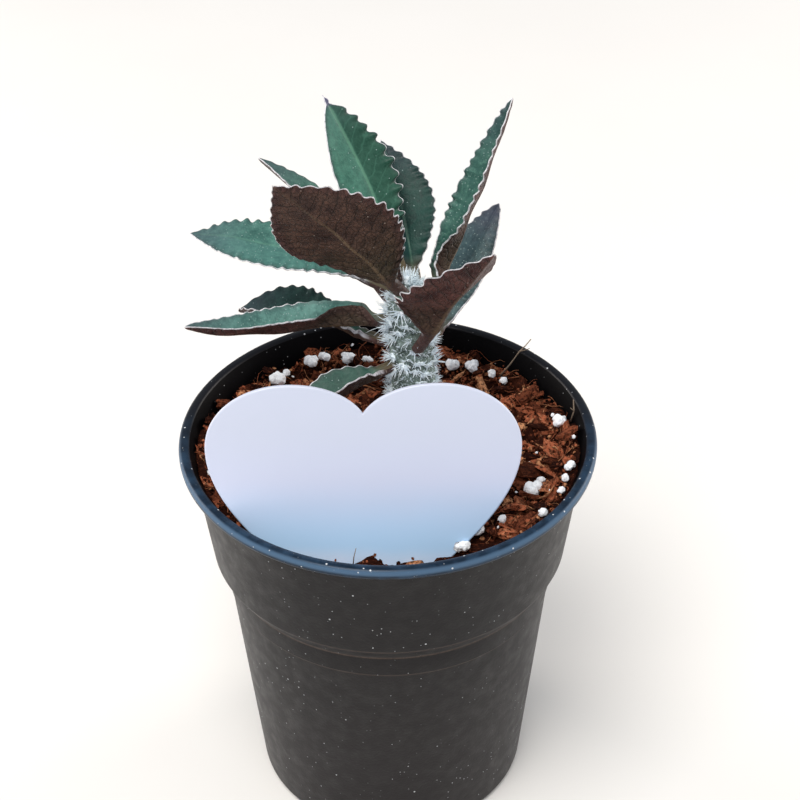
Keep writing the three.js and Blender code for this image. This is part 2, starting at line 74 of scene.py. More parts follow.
# Litter on the compost. It lies within a range of levels, and sunk further in front of the label.
# Tilts are in radians, and tones run from dark at 0 to tan at 1
CHIPS = {
    "count": 820, "length": (2.4, 7.6), "width": (1.3, 3.6), "thickness": (0.8, 2.1),
    "rough": 0.8, "boxy": 0.65, "bow": 0.1, "tilt": 0.7, "level": (-1.6, 0.8), "sunk": 0.3,
    "sunk_in_front": 2.2, "sharp_angle": 38,
}
CRUMBS = {
    "count": 4200, "size": (0.4, 1.25), "rough": 0.7, "tilt": 1.5, "level": (-0.7, 0.75),
    "sunk": 0, "sunk_in_front": 1.4,
}
FIBRES = {
    "count": 620, "length": (2.5, 8), "radius": (0.06, 0.15), "rise": (-0.3, 0.3),
    "bow": (-0.3, 0.3), "proud": (-0.1, 0.8), "tone": (0.35, 1), "sides": 4,
}
STICK_SHAPE = {"rise": 0.12, "bow": 0.08, "proud": 0.9, "tone": 0.93, "sides": 7}

# Share of its full radius that a fibre or stick has at points along it
STRAND_TAPER = (0.5, 0.9, 1, 1, 1, 0.8, 0.4)

# Pale sticks: place, length, compass angle and radius
STICKS = [
    (25.5, 14.5, 8.5, 128, 0.42), (30.5, 9.0, 6.5, 52, 0.34), (34.5, 1.0, 6.0, 140, 0.30),
    (22.0, 20.5, 6.0, 100, 0.34), (33.0, -15.5, 4.5, 30, 0.24), (29.0, -19.0, 6.0, 160, 0.22),
    (-27.5, 22.0, 6.0, 70, 0.30), (27.0, -4.0, 5.5, 80, 0.26),
]

# Perlite grains: place and width
PERLITE = [
    (-17.4, 32.3, 2.8), (-14.5, 34.2, 2.4), (-9, 34.7, 2.8), (-4.5, 34.6, 2.2), (-22.9, 28.1, 1.8),
    (-24.9, 26, 3.2), (15, 31.7, 2.8), (19.5, 30.9, 2.8), (23.9, 27.3, 1.8), (26.4, 25.1, 1.8),
    (37.7, 7.7, 2.7), (38.3, -9.7, 2.3), (37.3, -13.1, 1.8), (32.5, -9, 1.8), (30.5, -13, 3.4),
    (36.2, -17, 1.8), (31.9, -23.2, 1.9), (23.5, -22.5, 1.9), (18, -25.5, 3.0), (15, -28.5, 2.9),
    (-36.8, -9.1, 2.6), (-32.8, -18.3, 1.9), (-29.1, -25.4, 1.8), (-12, 12, 2.2), (18, 10, 2.4),
]
PERLITE_LOBES = {"single": (0.85, 1.1), "merged": (0.7, 0.88), "off": 0.24, "turn": 2.1, "rough": 0.3}
PERLITE_BITS = {"count": 60, "size": (0.4, 1.0), "rough": 0.35, "proud": 0.5}
PERLITE_TILT = 1.5

# Twigs that stick out of the compost: points of their paths, heights over the rim, and a thickness
TWIGS = [
    ([(25.5, 28, -6), (28, 27.6, -2), (30, 27.5, 1.6), (31.5, 29, 2.2), (32.8, 31, 2.5)], 0.21),
    ([(30, 27.5, 1.6), (31.4, 26.6, 2.7), (32.2, 26.4, 3.2)], 0.14),
    ([(40.2, 8, -3.6), (40.8, 8, -0.8), (40.6, 8.4, 2)], 0.20),
    ([(40.8, 8, -0.8), (39.9, 7.3, 0.6)], 0.14),
    ([(-7.6, -32.2, -10.4), (-7.3, -32.4, -7.0), (-6.8, -32.4, -4.6)], 0.14),
]

# Flakes in front of the label: place, length, width and compass angle
FLAKES = [(-15.7, -32.6, 3.4, 1.6, 25), (-7.7, -32.9, 3.0, 1.5, -10), (-20.3, -30.4, 2.2, 1.2, 60)]
FLAKE_SHAPE = {"thickness": 0.5, "rough": 0.5, "tilt": 0.3, "proud": 0.1, "tone": 0.45}

# Clearance that litter keeps from the pot's wall, the stem, and the label's faces and edges
CLEARANCE = {"wall": 0.05, "stem": 0.3, "label": 0.15, "label_edge": 0.3}

# Stem: a short club on a tapering root. Two points of its axis, as height over the rim, x and y,
# then its radius by height over the rim
STEM_FOOT = (-10, 6.6, 6.0)
STEM_TOP = (34, 4.4, 6.6)
STEM_PROFILE = [
    (-28, 1.6), (-20, 3.2), (-12, 4.7), (-7, 5.0), (-1, 4.9), (7, 4.7), (15, 4.6), (22, 4.5),
    (28, 4.3), (31.5, 3.8), (33.8, 2.6), (34.8, 0.0),
]
STEM_SKIN = {
    "step": 0.45, "tip": (33.7, 34.75), "tip_rings": 6, "sides": 84, "knob": 0.4, "knob_reach": 0.8,
}
TUFTS = {
    "count": 170, "low": -6.5, "high": 33.5, "size": (0.4, 1.3), "pad": (1.0, 2.1, 1.5),
    "pad_rough": 0.6, "clear_of_leaf": 0.9, "seed": 8,
}

# Tufts on the stem's tip: how many, from what height down and how far, and the turn between two
CROWN = {"count": 22, "top": 34.7, "drop": 1.3, "turn": 2.4}

# Bristles of a tuft: the most of them, their row's half width, how they fan, and their strays
BRISTLES = {
    "count": 26, "length": (1.1, 2.7), "radius": 0.13, "taper": (1, 0.9, 0.65, 0.15), "row": 0.85,
    "fan": 1.15, "lift": 0.35, "lift_at_top": 1.5, "top": (30.5, 34.0), "stray": 0.12,
    "stray_root": 0.45, "stray_lift": 0.8, "droop": 0.35, "rooted": 0.4,
}

# Places on the stem with hardly any wool: height over the rim, compass angle, reach in millimetres.
# BARE_RADIUS is the stem's radius about there
BARE_PLACES = [(-3.5, 235, 4.5), (6, 205, 2.6), (12, 222, 2.4), (1, 262, 1.8), (18, 245, 1.6)]
BARE_RADIUS = 5.0

# Places with longer bristles: height, compass angle, reach, and how much longer. LONG_RADIUS is the
# stem's radius about there
LONG_PLACES = [(29, 208, 4.0, 0.9), (33, 300, 3.0, 0.4), (22, 200, 4.0, 0.5)]
LONG_RADIUS = 4.3

# Leaves, in millimetres and degrees. leaf_midline and leaf_frames use their seats and bearings,
# leaf_half_width and leaf_fold their outlines, margin_waves their crisped margins, and the leaf
# materials the values from "upper" on
LEAF_COMMON = {
    "swing": 0, "curl": 0, "bend": 1, "roll": 0, "twist": 0, "fold": 15, "base_fold": 0,
    "unfolded": 0.6, "folded_from": 0.3, "stalk": 0.1, "widest": 0.5, "fullness": 0.85,
    "seat_radius": 4.4, "spike": 0, "crisp_left": 0.6, "crisp_right": 0.6, "wave_length": 2.5,
    "calmer_tip": 0.6, "upper": "green", "under": "brown", "tip": 0.3, "frost": 0.2, "rib": 0.2,
    "painted_shade_right_share": 0, "line_from": 0,
}
LEAVES = {
    "leaf_back_tall": {
        "height": 33, "seat": 103, "seat_radius": 3.2, "heading": 124.7, "swing": 21.2, "rise": 61,
        "curl": -8, "roll": -8, "twist": -5.6, "length": 41.9, "width": 14.1, "fold": 6,
        "widest": 0.54, "fullness": 0.92, "crisp_left": 0.25, "crisp_right": 1.5,
        "wave_length": 2.8, "spike": 1.9, "upper": "leafy", "tip": 0, "rib": 0.45, "painted_shade_right_share": 0.8,
        "frost": 0.08,
    },
    "leaf_back_middle": {
        "height": 30, "seat": 64, "seat_radius": 3.6, "heading": 97.4, "swing": 16.9, "rise": 48.3,
        "curl": -10.8, "roll": -8.7, "twist": 5.1, "length": 33.9, "width": 14.8, "fold": 20,
        # Its upper colour "deep" holds painted shade
        "fullness": 1, "crisp_right": 0.55, "calmer_tip": 0, "wave_length": 1.9, "upper": "deep",
        "tip": 0.2, "frost": 0.1,
    },
    "leaf_right_tall": {
        "height": 29.2, "seat": 19, "heading": 18.1, "swing": 12.5, "rise": 62.1, "curl": 8.5,
        "roll": 2, "twist": 0.3, "length": 46.9, "width": 9.6, "fold": 45, "base_fold": 32,
        "unfolded": 0.43, "folded_from": 0.2, "stalk": 0.07, "widest": 0.39, "fullness": 0.65,
        "crisp_left": 1, "crisp_right": 0.9, "calmer_tip": 0.4, "under": "plum", "frost": 0.9,
    },
    "leaf_right_back": {
        "height": 17.7, "seat": 24, "heading": 54.6, "swing": -1.2, "rise": 37.4, "curl": 4.2,
        "roll": 2.2, "twist": -1.4, "length": 34.1, "width": 11.6, "fold": 23, "widest": 0.47,
        "fullness": 0.71, "crisp_left": 0.35, "calmer_tip": 0.2,
        "wave_length": 2.0, "upper": "slate", "tip": 0.6, "frost": 0.8, "rib": 0,
    },
    "leaf_right_front": {
        "height": 21.4, "seat": 292.6, "heading": 304.8, "swing": 33.1, "rise": 57.5, "curl": -0.4,
        "roll": -8.1, "twist": -14, "length": 35.4, "width": 26.6, "fold": 18, "base_fold": 10,
        "stalk": 0.14, "widest": 0.51, "fullness": 1.11, "crisp_left": 0.4, "crisp_right": 1.5,
        "under": "plum",
    },
    "leaf_left_front": {
        "height": 33, "seat": 264, "seat_radius": 3, "heading": 228, "swing": -19.8, "rise": 53.3,
        "curl": -6.8, "roll": 35.3, "twist": 24, "length": 49.9, "width": 24.5, "fold": 5,
        "stalk": 0.12, "widest": 0.52, "fullness": 1.02, "crisp_left": 0.9, "crisp_right": 0.9,
    },
    "leaf_left_upper": {
        "height": 31.4, "seat": 145, "seat_radius": 4, "heading": 176, "swing": -14.3, "rise": 30.3,
        "curl": -37.3, "roll": -3.4, "twist": 1.9, "length": 44.9, "width": 15.9, "fold": 2,
        "widest": 0.58, "fullness": 0.92, "crisp_left": 0.9, "crisp_right": 0.5, "calmer_tip": 0.1,
        "wave_length": 2.2, "upper": "jade", "frost": 0.4,
    },
    "leaf_left_back": {
        "height": 27.8, "seat": 136.6, "heading": 134, "swing": 8.6, "rise": 34.4, "curl": -12.5,
        "roll": 28, "length": 43.5, "width": 14.9, "fold": 20, "widest": 0.51, "crisp_left": 0.35,
        "crisp_right": 0.35, "frost": 0.5,
    },
    "leaf_left_lower": {
        "height": 25.1, "seat": 163, "heading": 192.9, "swing": 17.4, "rise": 2.9, "curl": 34.3,
        "bend": 3, "roll": 5.9, "twist": -8.7, "length": 46.1, "width": 10.7, "fold": 50,
        "base_fold": 26, "unfolded": 0.4, "folded_from": 0.14, "stalk": 0.04, "widest": 0.38,
        "fullness": 0.56, "crisp_left": 0.3, "crisp_right": 0.5, "upper": "mint", "under": "plum",
        "frost": 0.6, "line_from": 0.35,
    },
    "leaf_left_behind": {
        "height": 18.8, "seat": 163, "heading": 160, "swing": -3.5, "rise": 10, "curl": -22,
        "roll": 11, "length": 36, "width": 17.6, "fold": 28, "widest": 0.64, "fullness": 0.83,
        "crisp_left": 0.8, "calmer_tip": 0.3, "upper": "teal", "tip": 0.25,
    },
    "leaf_left_small": {
        "height": 15.3, "seat": 203, "heading": 205, "swing": 10.3, "rise": -12, "curl": -25.7,
        "roll": 10.5, "twist": -1.8, "length": 23, "width": 13, "fold": 47, "widest": 0.6,
        "fullness": 0.7, "crisp_left": 0.5, "calmer_tip": 0.2, "tip": 0.1, "painted_shade_right_share": 0.6,
    },
    "leaf_youngest": {
        "height": 33, "seat": 215, "heading": 190, "rise": 76, "length": 9, "width": 3.4, "fold": 30,
        "seat_radius": 1.2, "crisp_left": 0.3, "crisp_right": 0.3, "upper": "olive",
    },
}
BLADE = {
    "row_step": 0.2, "half_columns": 18, "wave_height": 0.5, "tooth": 0.42, "wave_depth": 1.5,
    "stalk_width": 3.0, "stalk_below": 1.75, "stalk_above": 0.35, "top": 0.22, "field": 0.34,
    "keel": 0.5, "keel_width": 0.8, "groove": 0.16, "groove_width": 0.4, "edge_round": 0.7,
    "crease": 0.05, "swell": 0.1, "tip_half": 0.28, "tip_length": 2.5, "spike_half": 0.42,
    "root_in_stem": 2.0,
}

# Upper side of each kind of leaf: deep and pale colour
UPPER_COLOURS = {
    "green": ((0.020, 0.072, 0.056), (0.068, 0.170, 0.128)),
    "leafy": ((0.015, 0.074, 0.047), (0.072, 0.215, 0.148)),
    "jade": ((0.030, 0.100, 0.084), (0.085, 0.218, 0.176)),
    "mint": ((0.052, 0.130, 0.116), (0.132, 0.285, 0.248)),
    "teal": ((0.007, 0.034, 0.030), (0.021, 0.080, 0.066)),
    # Painted shade: a darker copy for the back middle leaf, which sits in shade
    "deep": ((0.003, 0.024, 0.020), (0.011, 0.054, 0.042)),
    "slate": ((0.009, 0.030, 0.034), (0.066, 0.124, 0.130)),
    "olive": ((0.070, 0.080, 0.035), (0.200, 0.200, 0.100)),
}
# Lower side: deep and pale colour
UNDER_COLOURS = {
    "brown": ((0.032, 0.013, 0.009), (0.100, 0.050, 0.034)),
    "plum": ((0.042, 0.015, 0.014), (0.130, 0.054, 0.044)),
}

# Heart label: its front leans back from front_y at the foot. Its outline is measured up and across
# the plate, and has this many points along each of its three curves
LABEL = {
    "centre_x": -5, "front_y": -30, "foot": 82.5, "lean": 20, "thickness": 1.2, "half": 32.2,
    "extreme": 23.5, "lobe_half": 15, "lobe": 37.7, "cleft": 31.6, "point": 14, "round": 0.45,
    "curve_points": (40, 30, 24), "front_depth": 4, "sharp_angle": 60,
}

# Soft disk lights that look at one place: name, place in metres, size, power and colour
LIGHTS = [
    ("key", (-0.2, -0.42, 0.98), 0.6, 9, (1.0, 0.97, 0.93)),
    ("left_rim", (-0.8, 0.35, 0.35), 0.5, 4, (1.0, 0.93, 0.86)),
    ("right_rim", (0.8, 0.35, 0.35), 0.5, 4, (1.0, 0.93, 0.86)),
]
LIT_PLACE = (0, 0, 0.09)
FLOOR_SIZE = 6
SKY = {"colour": (0.86, 0.92, 1.0, 1), "strength": 0.55}


# Geometry helpers


def smooth(low, high, value):
    """Smooth step from 0 at low to 1 at high."""
    share = np.clip((value - low) / (high - low), 0, 1)
    return share * share * (3 - 2 * share)


def add_object(name, data):
    """A new object in the scene."""
    piece = bpy.data.objects.new(name, data)
    bpy.context.scene.collection.objects.link(piece)
    return piece


def new_object(name, points, faces, material, smooth_faces=True):
    """A mesh object from points in millimetres."""
    mesh = bpy.data.meshes.new(name)
    mesh.from_pydata((np.asarray(points, float) * MM).tolist(), [], [list(f) for f in faces])
    mesh.polygons.foreach_set("use_smooth", [smooth_faces] * len(mesh.polygons))
    mesh.materials.append(material)
    mesh.update()
    return add_object(name, mesh)


def add_point_values(piece, name, values):
    """A number or a vector on every vertex, for the materials to read."""
    values = np.asarray(values, np.float32)
    kind, field = ("FLOAT", "value") if values.ndim == 1 else ("FLOAT_VECTOR", "vector")
    attribute = piece.data.attributes.new(name, kind, "POINT")
    attribute.data.foreach_set(field, values.ravel())


def circle(sides):
    """Evenly spaced angles around a circle."""
    return np.linspace(0, 2 * np.pi, sides, endpoint=False)


def polar(radius, angle, height):
    """Points from radii about the axis, angles and heights."""
    parts = np.broadcast_arrays(radius * np.cos(angle), radius * np.sin(angle), height)
    return np.stack(parts, -1)


def ring_quads(rings, sides):
    """Quads between closed rings of points that are stored ring by ring."""
    ring, corner = np.meshgrid(np.arange(rings - 1), np.arange(sides), indexing="ij")
    after = (corner + 1) % sides
    low, high = ring * sides, (ring + 1) * sides
    quads = [low + corner, low + after, high + after, high + corner]
    return np.stack(quads, -1).reshape(-1, 4).tolist()


def capped_rings(rings, sides, reverse=False):
    """Quads between rings of points, with a cap on the first and the last ring."""
    last = (rings - 1) * sides
    caps = [list(range(sides))[::-1], list(range(last, last + sides))]
    faces = ring_quads(rings, sides) + caps
    return [face[::-1] for face in faces] if reverse else faces


def turned(profile, sides):
    """Points and faces of a profile turned about the axis that it starts and ends on."""
    ring = np.array([(r, z) for r, z in profile if r > 0], float)
    points = polar(ring[:, :1], circle(sides), ring[:, 1:]).reshape(-1, 3)
    faces = ring_quads(len(ring), sides)
    for row, (_, height) in ((0, profile[0]), (len(ring) - 1, profile[-1])):
        points = np.vstack([points, (0, 0, height)])
        ends = [row * sides + i for i in range(sides)]
        for i, corner in enumerate(ends):
            after = ends[(i + 1) % sides]
            pair = (after, corner) if row == 0 else (corner, after)
            faces.append((len(points) - 1, *pair))
    return points, faces


class Heap:
    """Many small closed shapes collected into one mesh, each with a tone and a grain for its material."""

    def __init__(self):
        self.points, self.faces, self.tones, self.grains, self.count = [], [], [], [], 0

    def add(self, points, faces, tone, grain=None):
        """Adds a shape. Its grain is where its points lie along, across and over its own length."""
        self.faces += [[corner + self.count for corner in face] for face in faces]
        self.points.append(points)
        self.tones.append(np.broadcast_to(tone, len(points)))
        self.grains.append(points if grain is None else grain)
        self.count += len(points)

    def build(self, name, material, smooth_faces=True):
        piece = new_object(name, np.vstack(self.points), self.faces, material, smooth_faces)
        add_point_values(piece, "tone", np.concatenate(self.tones))
        add_point_values(piece, "grain", np.vstack(self.grains))
        return piece


def ball(level):
    """Points and faces of a unit ball of triangles."""
    made = bpy.data.meshes.new("ball")
    shape = bmesh.new()
    bmesh.ops.create_icosphere(shape, subdivisions=level, radius=1)
    shape.to_mesh(made)
    shape.free()
    points = np.array([v.co for v in made.vertices])
    faces = np.array([p.vertices for p in made.polygons])
    bpy.data.meshes.remove(made)
    return points, faces


def turn(rng, tilt):
    """A rotation by any angle about +Z after a random tilt of up to that many radians."""
    about = Matrix.Rotation(rng.uniform(0, 2 * math.pi), 3, "Z")
    lean = rng.uniform(-tilt, tilt, 2)
    return np.array(about @ Matrix.Rotation(lean[0], 3, "X") @ Matrix.Rotation(lean[1], 3, "Y"))


def lump(unit, size, rng, rough, boxy=1.0):
    """A rough lump of a given length, width and thickness, from the points of a unit ball."""
    shift = Vector(rng.uniform(0, 50, 3))
    bumps = np.array([noise.noise(Vector(p) * 1.7 + shift) for p in unit])
    shaped = np.sign(unit) * np.abs(unit) ** boxy
    return shaped * (1 + rough * bumps)[:, None] * np.asarray(size) / 2


def tube(path, radii, sides):
    """Points and faces of a closed tube along a path of points, with a radius at each."""
    path = np.asarray(path, float)
    ahead = np.gradient(path, axis=0)
    ahead /= np.linalg.norm(ahead, axis=1, keepdims=True)
    helper = np.array([0.31, 0.17, 0.93])
    across = np.cross(ahead, helper)
    across /= np.linalg.norm(across, axis=1, keepdims=True)
    other = np.cross(ahead, across)
    angle = circle(sides)[None, :, None]
    rings = path[:, None] + np.asarray(radii)[:, None, None] * (
        across[:, None] * np.cos(angle) + other[:, None] * np.sin(angle)
    )
    return rings.reshape(-1, 3), capped_rings(len(path), sides)


# Node graphs


class Graph:
    """Builds the nodes of one material around a Principled shader."""

    def __init__(self, name):
        self.material = bpy.data.materials.new(name)
        self.material.use_nodes = True
        self.tree = self.material.node_tree
        self.tree.nodes.clear()
        self.shader = self.tree.nodes.new("ShaderNodeBsdfPrincipled")
        output = self.tree.nodes.new("ShaderNodeOutputMaterial")
        self.tree.links.new(self.shader.outputs["BSDF"], output.inputs["Surface"])

    def put(self, value, socket):
        """Links another node's output to a socket, or sets the socket's own value."""
        if isinstance(value, bpy.types.NodeSocket):
            self.tree.links.new(value, socket)
        elif isinstance(value, tuple) and len(value) == 3 and len(socket.default_value) == 4:
            socket.default_value = (*value, 1)
        else:
            socket.default_value = value

    def finish(self, **sockets):
        """The material, with the shader's sockets, their words joined by underscores, filled."""
        for name, value in sockets.items():
            self.put(value, self.shader.inputs[name.replace("_", " ")])
        return self.material

    def node(self, kind, **settings):
        made = self.tree.nodes.new(kind)
        for name, value in settings.items():
            setattr(made, name, value)
        return made

    def attribute(self, name, output="Fac"):
        return self.node("ShaderNodeAttribute", attribute_name=name).outputs[output]

    def place(self):
        """Place on the part in millimetres."""
        mapping = self.node("ShaderNodeMapping")
        self.put(self.node("ShaderNodeTexCoord").outputs["Object"], mapping.inputs["Vector"])
        mapping.inputs["Scale"].default_value = [1 / MM] * 3
        return mapping.outputs["Vector"]

    def math(self, operation, a, b=0.0):
        made = self.node("ShaderNodeMath", operation=operation)
        self.put(a, made.inputs[0])
        self.put(b, made.inputs[1])
        return made.outputs[0]

    def times(self, a, b):
        return self.math("MULTIPLY", a, b)

    def plus(self, a, b):
        return self.math("ADD", a, b)

    def axes(self, vector):
        made = self.node("ShaderNodeSeparateXYZ")
        self.put(vector, made.inputs[0])
        return made.outputs

    def scaled(self, vector, scale):
        made = self.node("ShaderNodeVectorMath", operation="MULTIPLY")
        self.put(vector, made.inputs[0])
        self.put(scale, made.inputs[1])
        return made.outputs[0]

    def mix(self, share, a, b):
        made = self.node("ShaderNodeMix", data_type="RGBA")
        self.put(share, made.inputs[0])
        self.put(a, made.inputs[6])
        self.put(b, made.inputs[7])
        return made.outputs[2]

    def over(self, colour, *layers):
        """Lays other colours over a colour, each with its own share."""
        for share, layer in layers:
            colour = self.mix(share, colour, layer)
        return colour

    def noise(self, vector, scale, detail=3.0, roughness=0.55):
        made = self.node("ShaderNodeTexNoise")
        self.put(vector, made.inputs["Vector"])
        made.inputs["Scale"].default_value = scale
        made.inputs["Detail"].default_value = detail
        made.inputs["Roughness"].default_value = roughness
        return made.outputs["Fac"]

    def cells(self, vector, scale, feature="F1"):
        made = self.node("ShaderNodeTexVoronoi", feature=feature)
        self.put(vector, made.inputs["Vector"])
        made.inputs["Scale"].default_value = scale
        return made.outputs

    def between(self, value, low, high, to_low=0.0, to_high=1.0):
        """A smooth step of a value from low to high."""
        made = self.node("ShaderNodeMapRange", interpolation_type="SMOOTHSTEP")
        for number, socket in zip((value, low, high, to_low, to_high), made.inputs):
            self.put(number, socket)
        return made.outputs[0]

    def specks(self, vector, scale, size, share):
        """Small dots, one in some of the cells of a random pattern."""
        cell = self.cells(vector, scale)
        dot = self.between(cell["Distance"], size, size * 0.55)
        chosen = self.math("GREATER_THAN", self.axes(cell["Color"])[0], 1 - share)
        return self.times(dot, chosen)

    def bump(self, height, depth):
        """A normal from a height, where a height of 1 stands this many millimetres proud."""
        made = self.node("ShaderNodeBump")
        made.inputs["Distance"].default_value = depth * MM
        self.put(height, made.inputs["Height"])
        return made.outputs["Normal"]


def pot_specks(g, place):
    """Fine specks of white dust in drifts, and a few coarse ones."""
    drifts = g.between(g.noise(place, 0.06, 3), 0.42, 0.62, 0.15, 1.0)
    fine = g.times(g.specks(place, 1.1, 0.17, 0.17), drifts)
    return g.math("MAXIMUM", fine, g.specks(place, 0.40, 0.10, 0.10))


def pot_wall_colour(g, height, cloud, grain):
    """Nearly black, greyer towards the foot, with a thin film of dust and brown lines of it."""
    wall = g.mix(cloud, (0.0045, 0.0035, 0.0045), (0.0064, 0.0050, 0.0060))
    film = g.times(g.between(grain, 0.55, 0.8), g.between(cloud, 0.4, 0.7, 0.0, 0.05))
    greyer = g.between(height, 75, 5, 0.0, 0.5)
    layers = [(greyer, (0.018, 0.0145, 0.0155)), (film, (0.060, 0.053, 0.052))]
    for level, strength in POT_DUST_LINES:
        off = g.math("ABSOLUTE", g.math("SUBTRACT", height, level))
        dust = g.times(g.between(off, 0.45, 0.1), g.between(grain, 0.3, 0.6, 0.3, strength))
        layers.append((dust, (0.085, 0.055, 0.040)))
    return g.over(wall, *layers)


def pot_lip_painted_reflection(g, reach, y, height, scuff):
    """Painted reflection of the sky: blue over the front of the lip, with a painted highlight along its
    outer edge, and nearly black at the back, where the painted reflection stops.
    """
    # A thin ring of painted highlight along the lip's outer edge
    edge = g.times(g.between(reach, 44.3, 44.9), g.between(height, 90.8, 91.6))
    return g.over(
        g.mix(g.between(scuff, 0.35, 0.7), (0.006, 0.015, 0.030), (0.017, 0.040, 0.075)),
        (edge, (0.070, 0.125, 0.200)),
        # The painted reflection gives way to nearly black towards the back
        (g.between(y, -14, 14), (0.006, 0.0065, 0.009)),
    )


def pot_material():
    """Charcoal plastic with a dusty wall, a painted blue sky reflection and painted highlight on the lip,
    and specks.
    """
    g = Graph("charcoal_plastic")
    place = g.place()
    x, y, height = g.axes(place)
    reach = g.math("SQRT", g.plus(g.times(x, x), g.times(y, y)))
    cloud = g.noise(place, 0.07, 4)
    grain = g.noise(place, 1.6, 3)
    scuff = g.noise(place, 0.3, 3)
    lip = g.times(g.between(height, 89.4, 90.2), g.between(reach, 42.5, 42.9))
    wall_colour = pot_wall_colour(g, height, cloud, grain)
    # The lip's colour is painted sky reflection and painted highlight
    lip_painted_reflection = pot_lip_painted_reflection(g, reach, y, height, scuff)
    marks = g.math("MAXIMUM", pot_specks(g, place), g.times(lip, g.specks(place, 0.8, 0.2, 0.2)))
    return g.finish(
        Base_Color=g.over(wall_colour, (lip, lip_painted_reflection), (marks, (0.60, 0.62, 0.64))),
        Roughness=g.between(g.plus(scuff, g.times(lip, -0.35)), 0.05, 0.7, 0.30, 0.46),
        Specular_IOR_Level=0.13,
        Normal=g.bump(g.plus(grain, g.times(marks, 0.6)), 0.03),
    )


def pot_inside_painted_shade_material():
    """The same plastic on the inner wall, with painted shade for the little light that comes there: nearly
    black and dull.
    """
    g = Graph("charcoal_plastic_painted_shade")
    place = g.place()
    cloud = g.noise(place, 0.09, 4)
    marks = pot_specks(g, place)
    # Painted shade: a darker copy of the wall's colour, with dimmer specks
    black = g.mix(cloud, (0.0012, 0.0011, 0.0014), (0.0034, 0.0030, 0.0036))
    return g.finish(
        Base_Color=g.mix(marks, black, (0.34, 0.35, 0.36)),
        Roughness=g.between(cloud, 0.3, 0.7, 0.45, 0.6),
        Specular_IOR_Level=0.04,
        Normal=g.bump(marks, 0.03),
    )


def chip_material():
    """Coir chips, crumbs and fibres. Tone runs from nearly black over rust to tan, and painted shade
    leaves the hollows of the bump nearly black.
    """
    g = Graph("coir")
    tone = g.attribute("tone")
    grain = g.attribute("grain", "Vector")
    lumpy = g.noise(grain, 1.3, 4, 0.65)
    fibre = g.noise(g.scaled(grain, (0.5, 3.2, 3.2)), 1.1, 4, 0.6)
    rust = g.mix(g.between(tone, 0.0, 0.6), (0.012, 0.003, 0.002), (0.430, 0.120, 0.056))
    rust = g.mix(g.between(tone, 0.6, 1.0), rust, (0.640, 0.290, 0.140))
    bright = g.mix(g.between(tone, 0.1, 0.9), (0.220, 0.060, 0.026), (0.720, 0.400, 0.220))
    return g.finish(
        # Painted shade: nearly black where lumpy is low, in the hollows of the bump, with rust and tan
        # over it
        Base_Color=g.over(
            (0.018, 0.004, 0.002),
            (g.between(lumpy, 0.34, 0.6), rust),
            (g.between(fibre, 0.52, 0.72, 0.0, 0.7), bright),
        ),
        Roughness=g.between(lumpy, 0.3, 0.7, 0.6, 0.85),
        Specular_IOR_Level=0.05,
        Normal=g.bump(g.plus(lumpy, fibre), 0.35),
    )


def twig_material():
    g = Graph("twig_bark")
    return g.finish(
        Base_Color=g.mix(g.noise(g.place(), 0.6, 3), (0.110, 0.075, 0.050), (0.330, 0.250, 0.180)),
        Roughness=0.8,
    )


def perlite_material():
    g = Graph("perlite")
    place = g.place()
    pits = g.cells(place, 1.5)["Distance"]
    grain = g.noise(place, 2.2, 4)
    stain = g.between(g.noise(place, 0.5, 3), 0.56, 0.8, 0.0, 0.4)
    # Painted shade: greyer in the middle of each pit, where the bump sinks
    white = g.mix(g.between(pits, 0.0, 0.3), (0.66, 0.66, 0.69), (0.90, 0.92, 0.95))
    return g.finish(
        Base_Color=g.mix(stain, white, (0.50, 0.33, 0.25)),
        Roughness=0.7,
        Normal=g.bump(g.plus(pits, g.times(grain, 0.6)), 0.16),
    )


def stem_material():
    g = Graph("stem_skin")
    place = g.place()
    cloud = g.noise(place, 0.35, 4)
    grain = g.noise(place, 2.4, 4)
    green = g.mix(g.between(cloud, 0.35, 0.65), (0.040, 0.062, 0.050), (0.180, 0.240, 0.205))
    frost = g.between(grain, 0.48, 0.66, 0.0, 0.55)
    return g.finish(
        Base_Color=g.mix(frost, green, (0.62, 0.72, 0.76)),
        Roughness=0.8,
        Normal=g.bump(grain, 0.25),
    )


def bristle_material():
    g = Graph("bristles")
    tone = g.attribute("tone")
    blush = g.between(g.noise(g.place(), 0.22, 2), 0.52, 0.7, 0.0, 0.5)
    # Both whites carry a painted blue cast of sky light
    white = g.mix(blush, (0.88, 0.96, 1.0), (0.94, 0.88, 0.96))
    return g.finish(
        Base_Color=g.mix(tone, (0.72, 0.85, 0.97), white),
        Roughness=0.6,
    )


def label_material():
    """White plastic with a painted blue reflection of the sky towards its foot, where it stands in shade.
    """
    g = Graph("label_plastic")
    place = g.place()
    drift = g.plus(g.axes(place)[2], g.times(g.noise(place, 0.04, 2), 5.0))
    return g.finish(
        Base_Color=g.over(
            # The blue towards the foot is painted sky reflection
            g.mix(g.between(drift, 114, 98), (0.560, 0.592, 0.708), (0.590, 0.625, 0.785)),
            (g.between(drift, 103, 87), (0.490, 0.725, 1.0)),
            (g.between(drift, 88.5, 85.0, 0.0, 0.5), (0.730, 0.820, 1.0)),
        ),
        Roughness=g.between(g.noise(place, 0.3, 3), 0.3, 0.7, 0.30, 0.38),
        Normal=g.bump(g.noise(place, 3.0, 2), 0.004),
    )


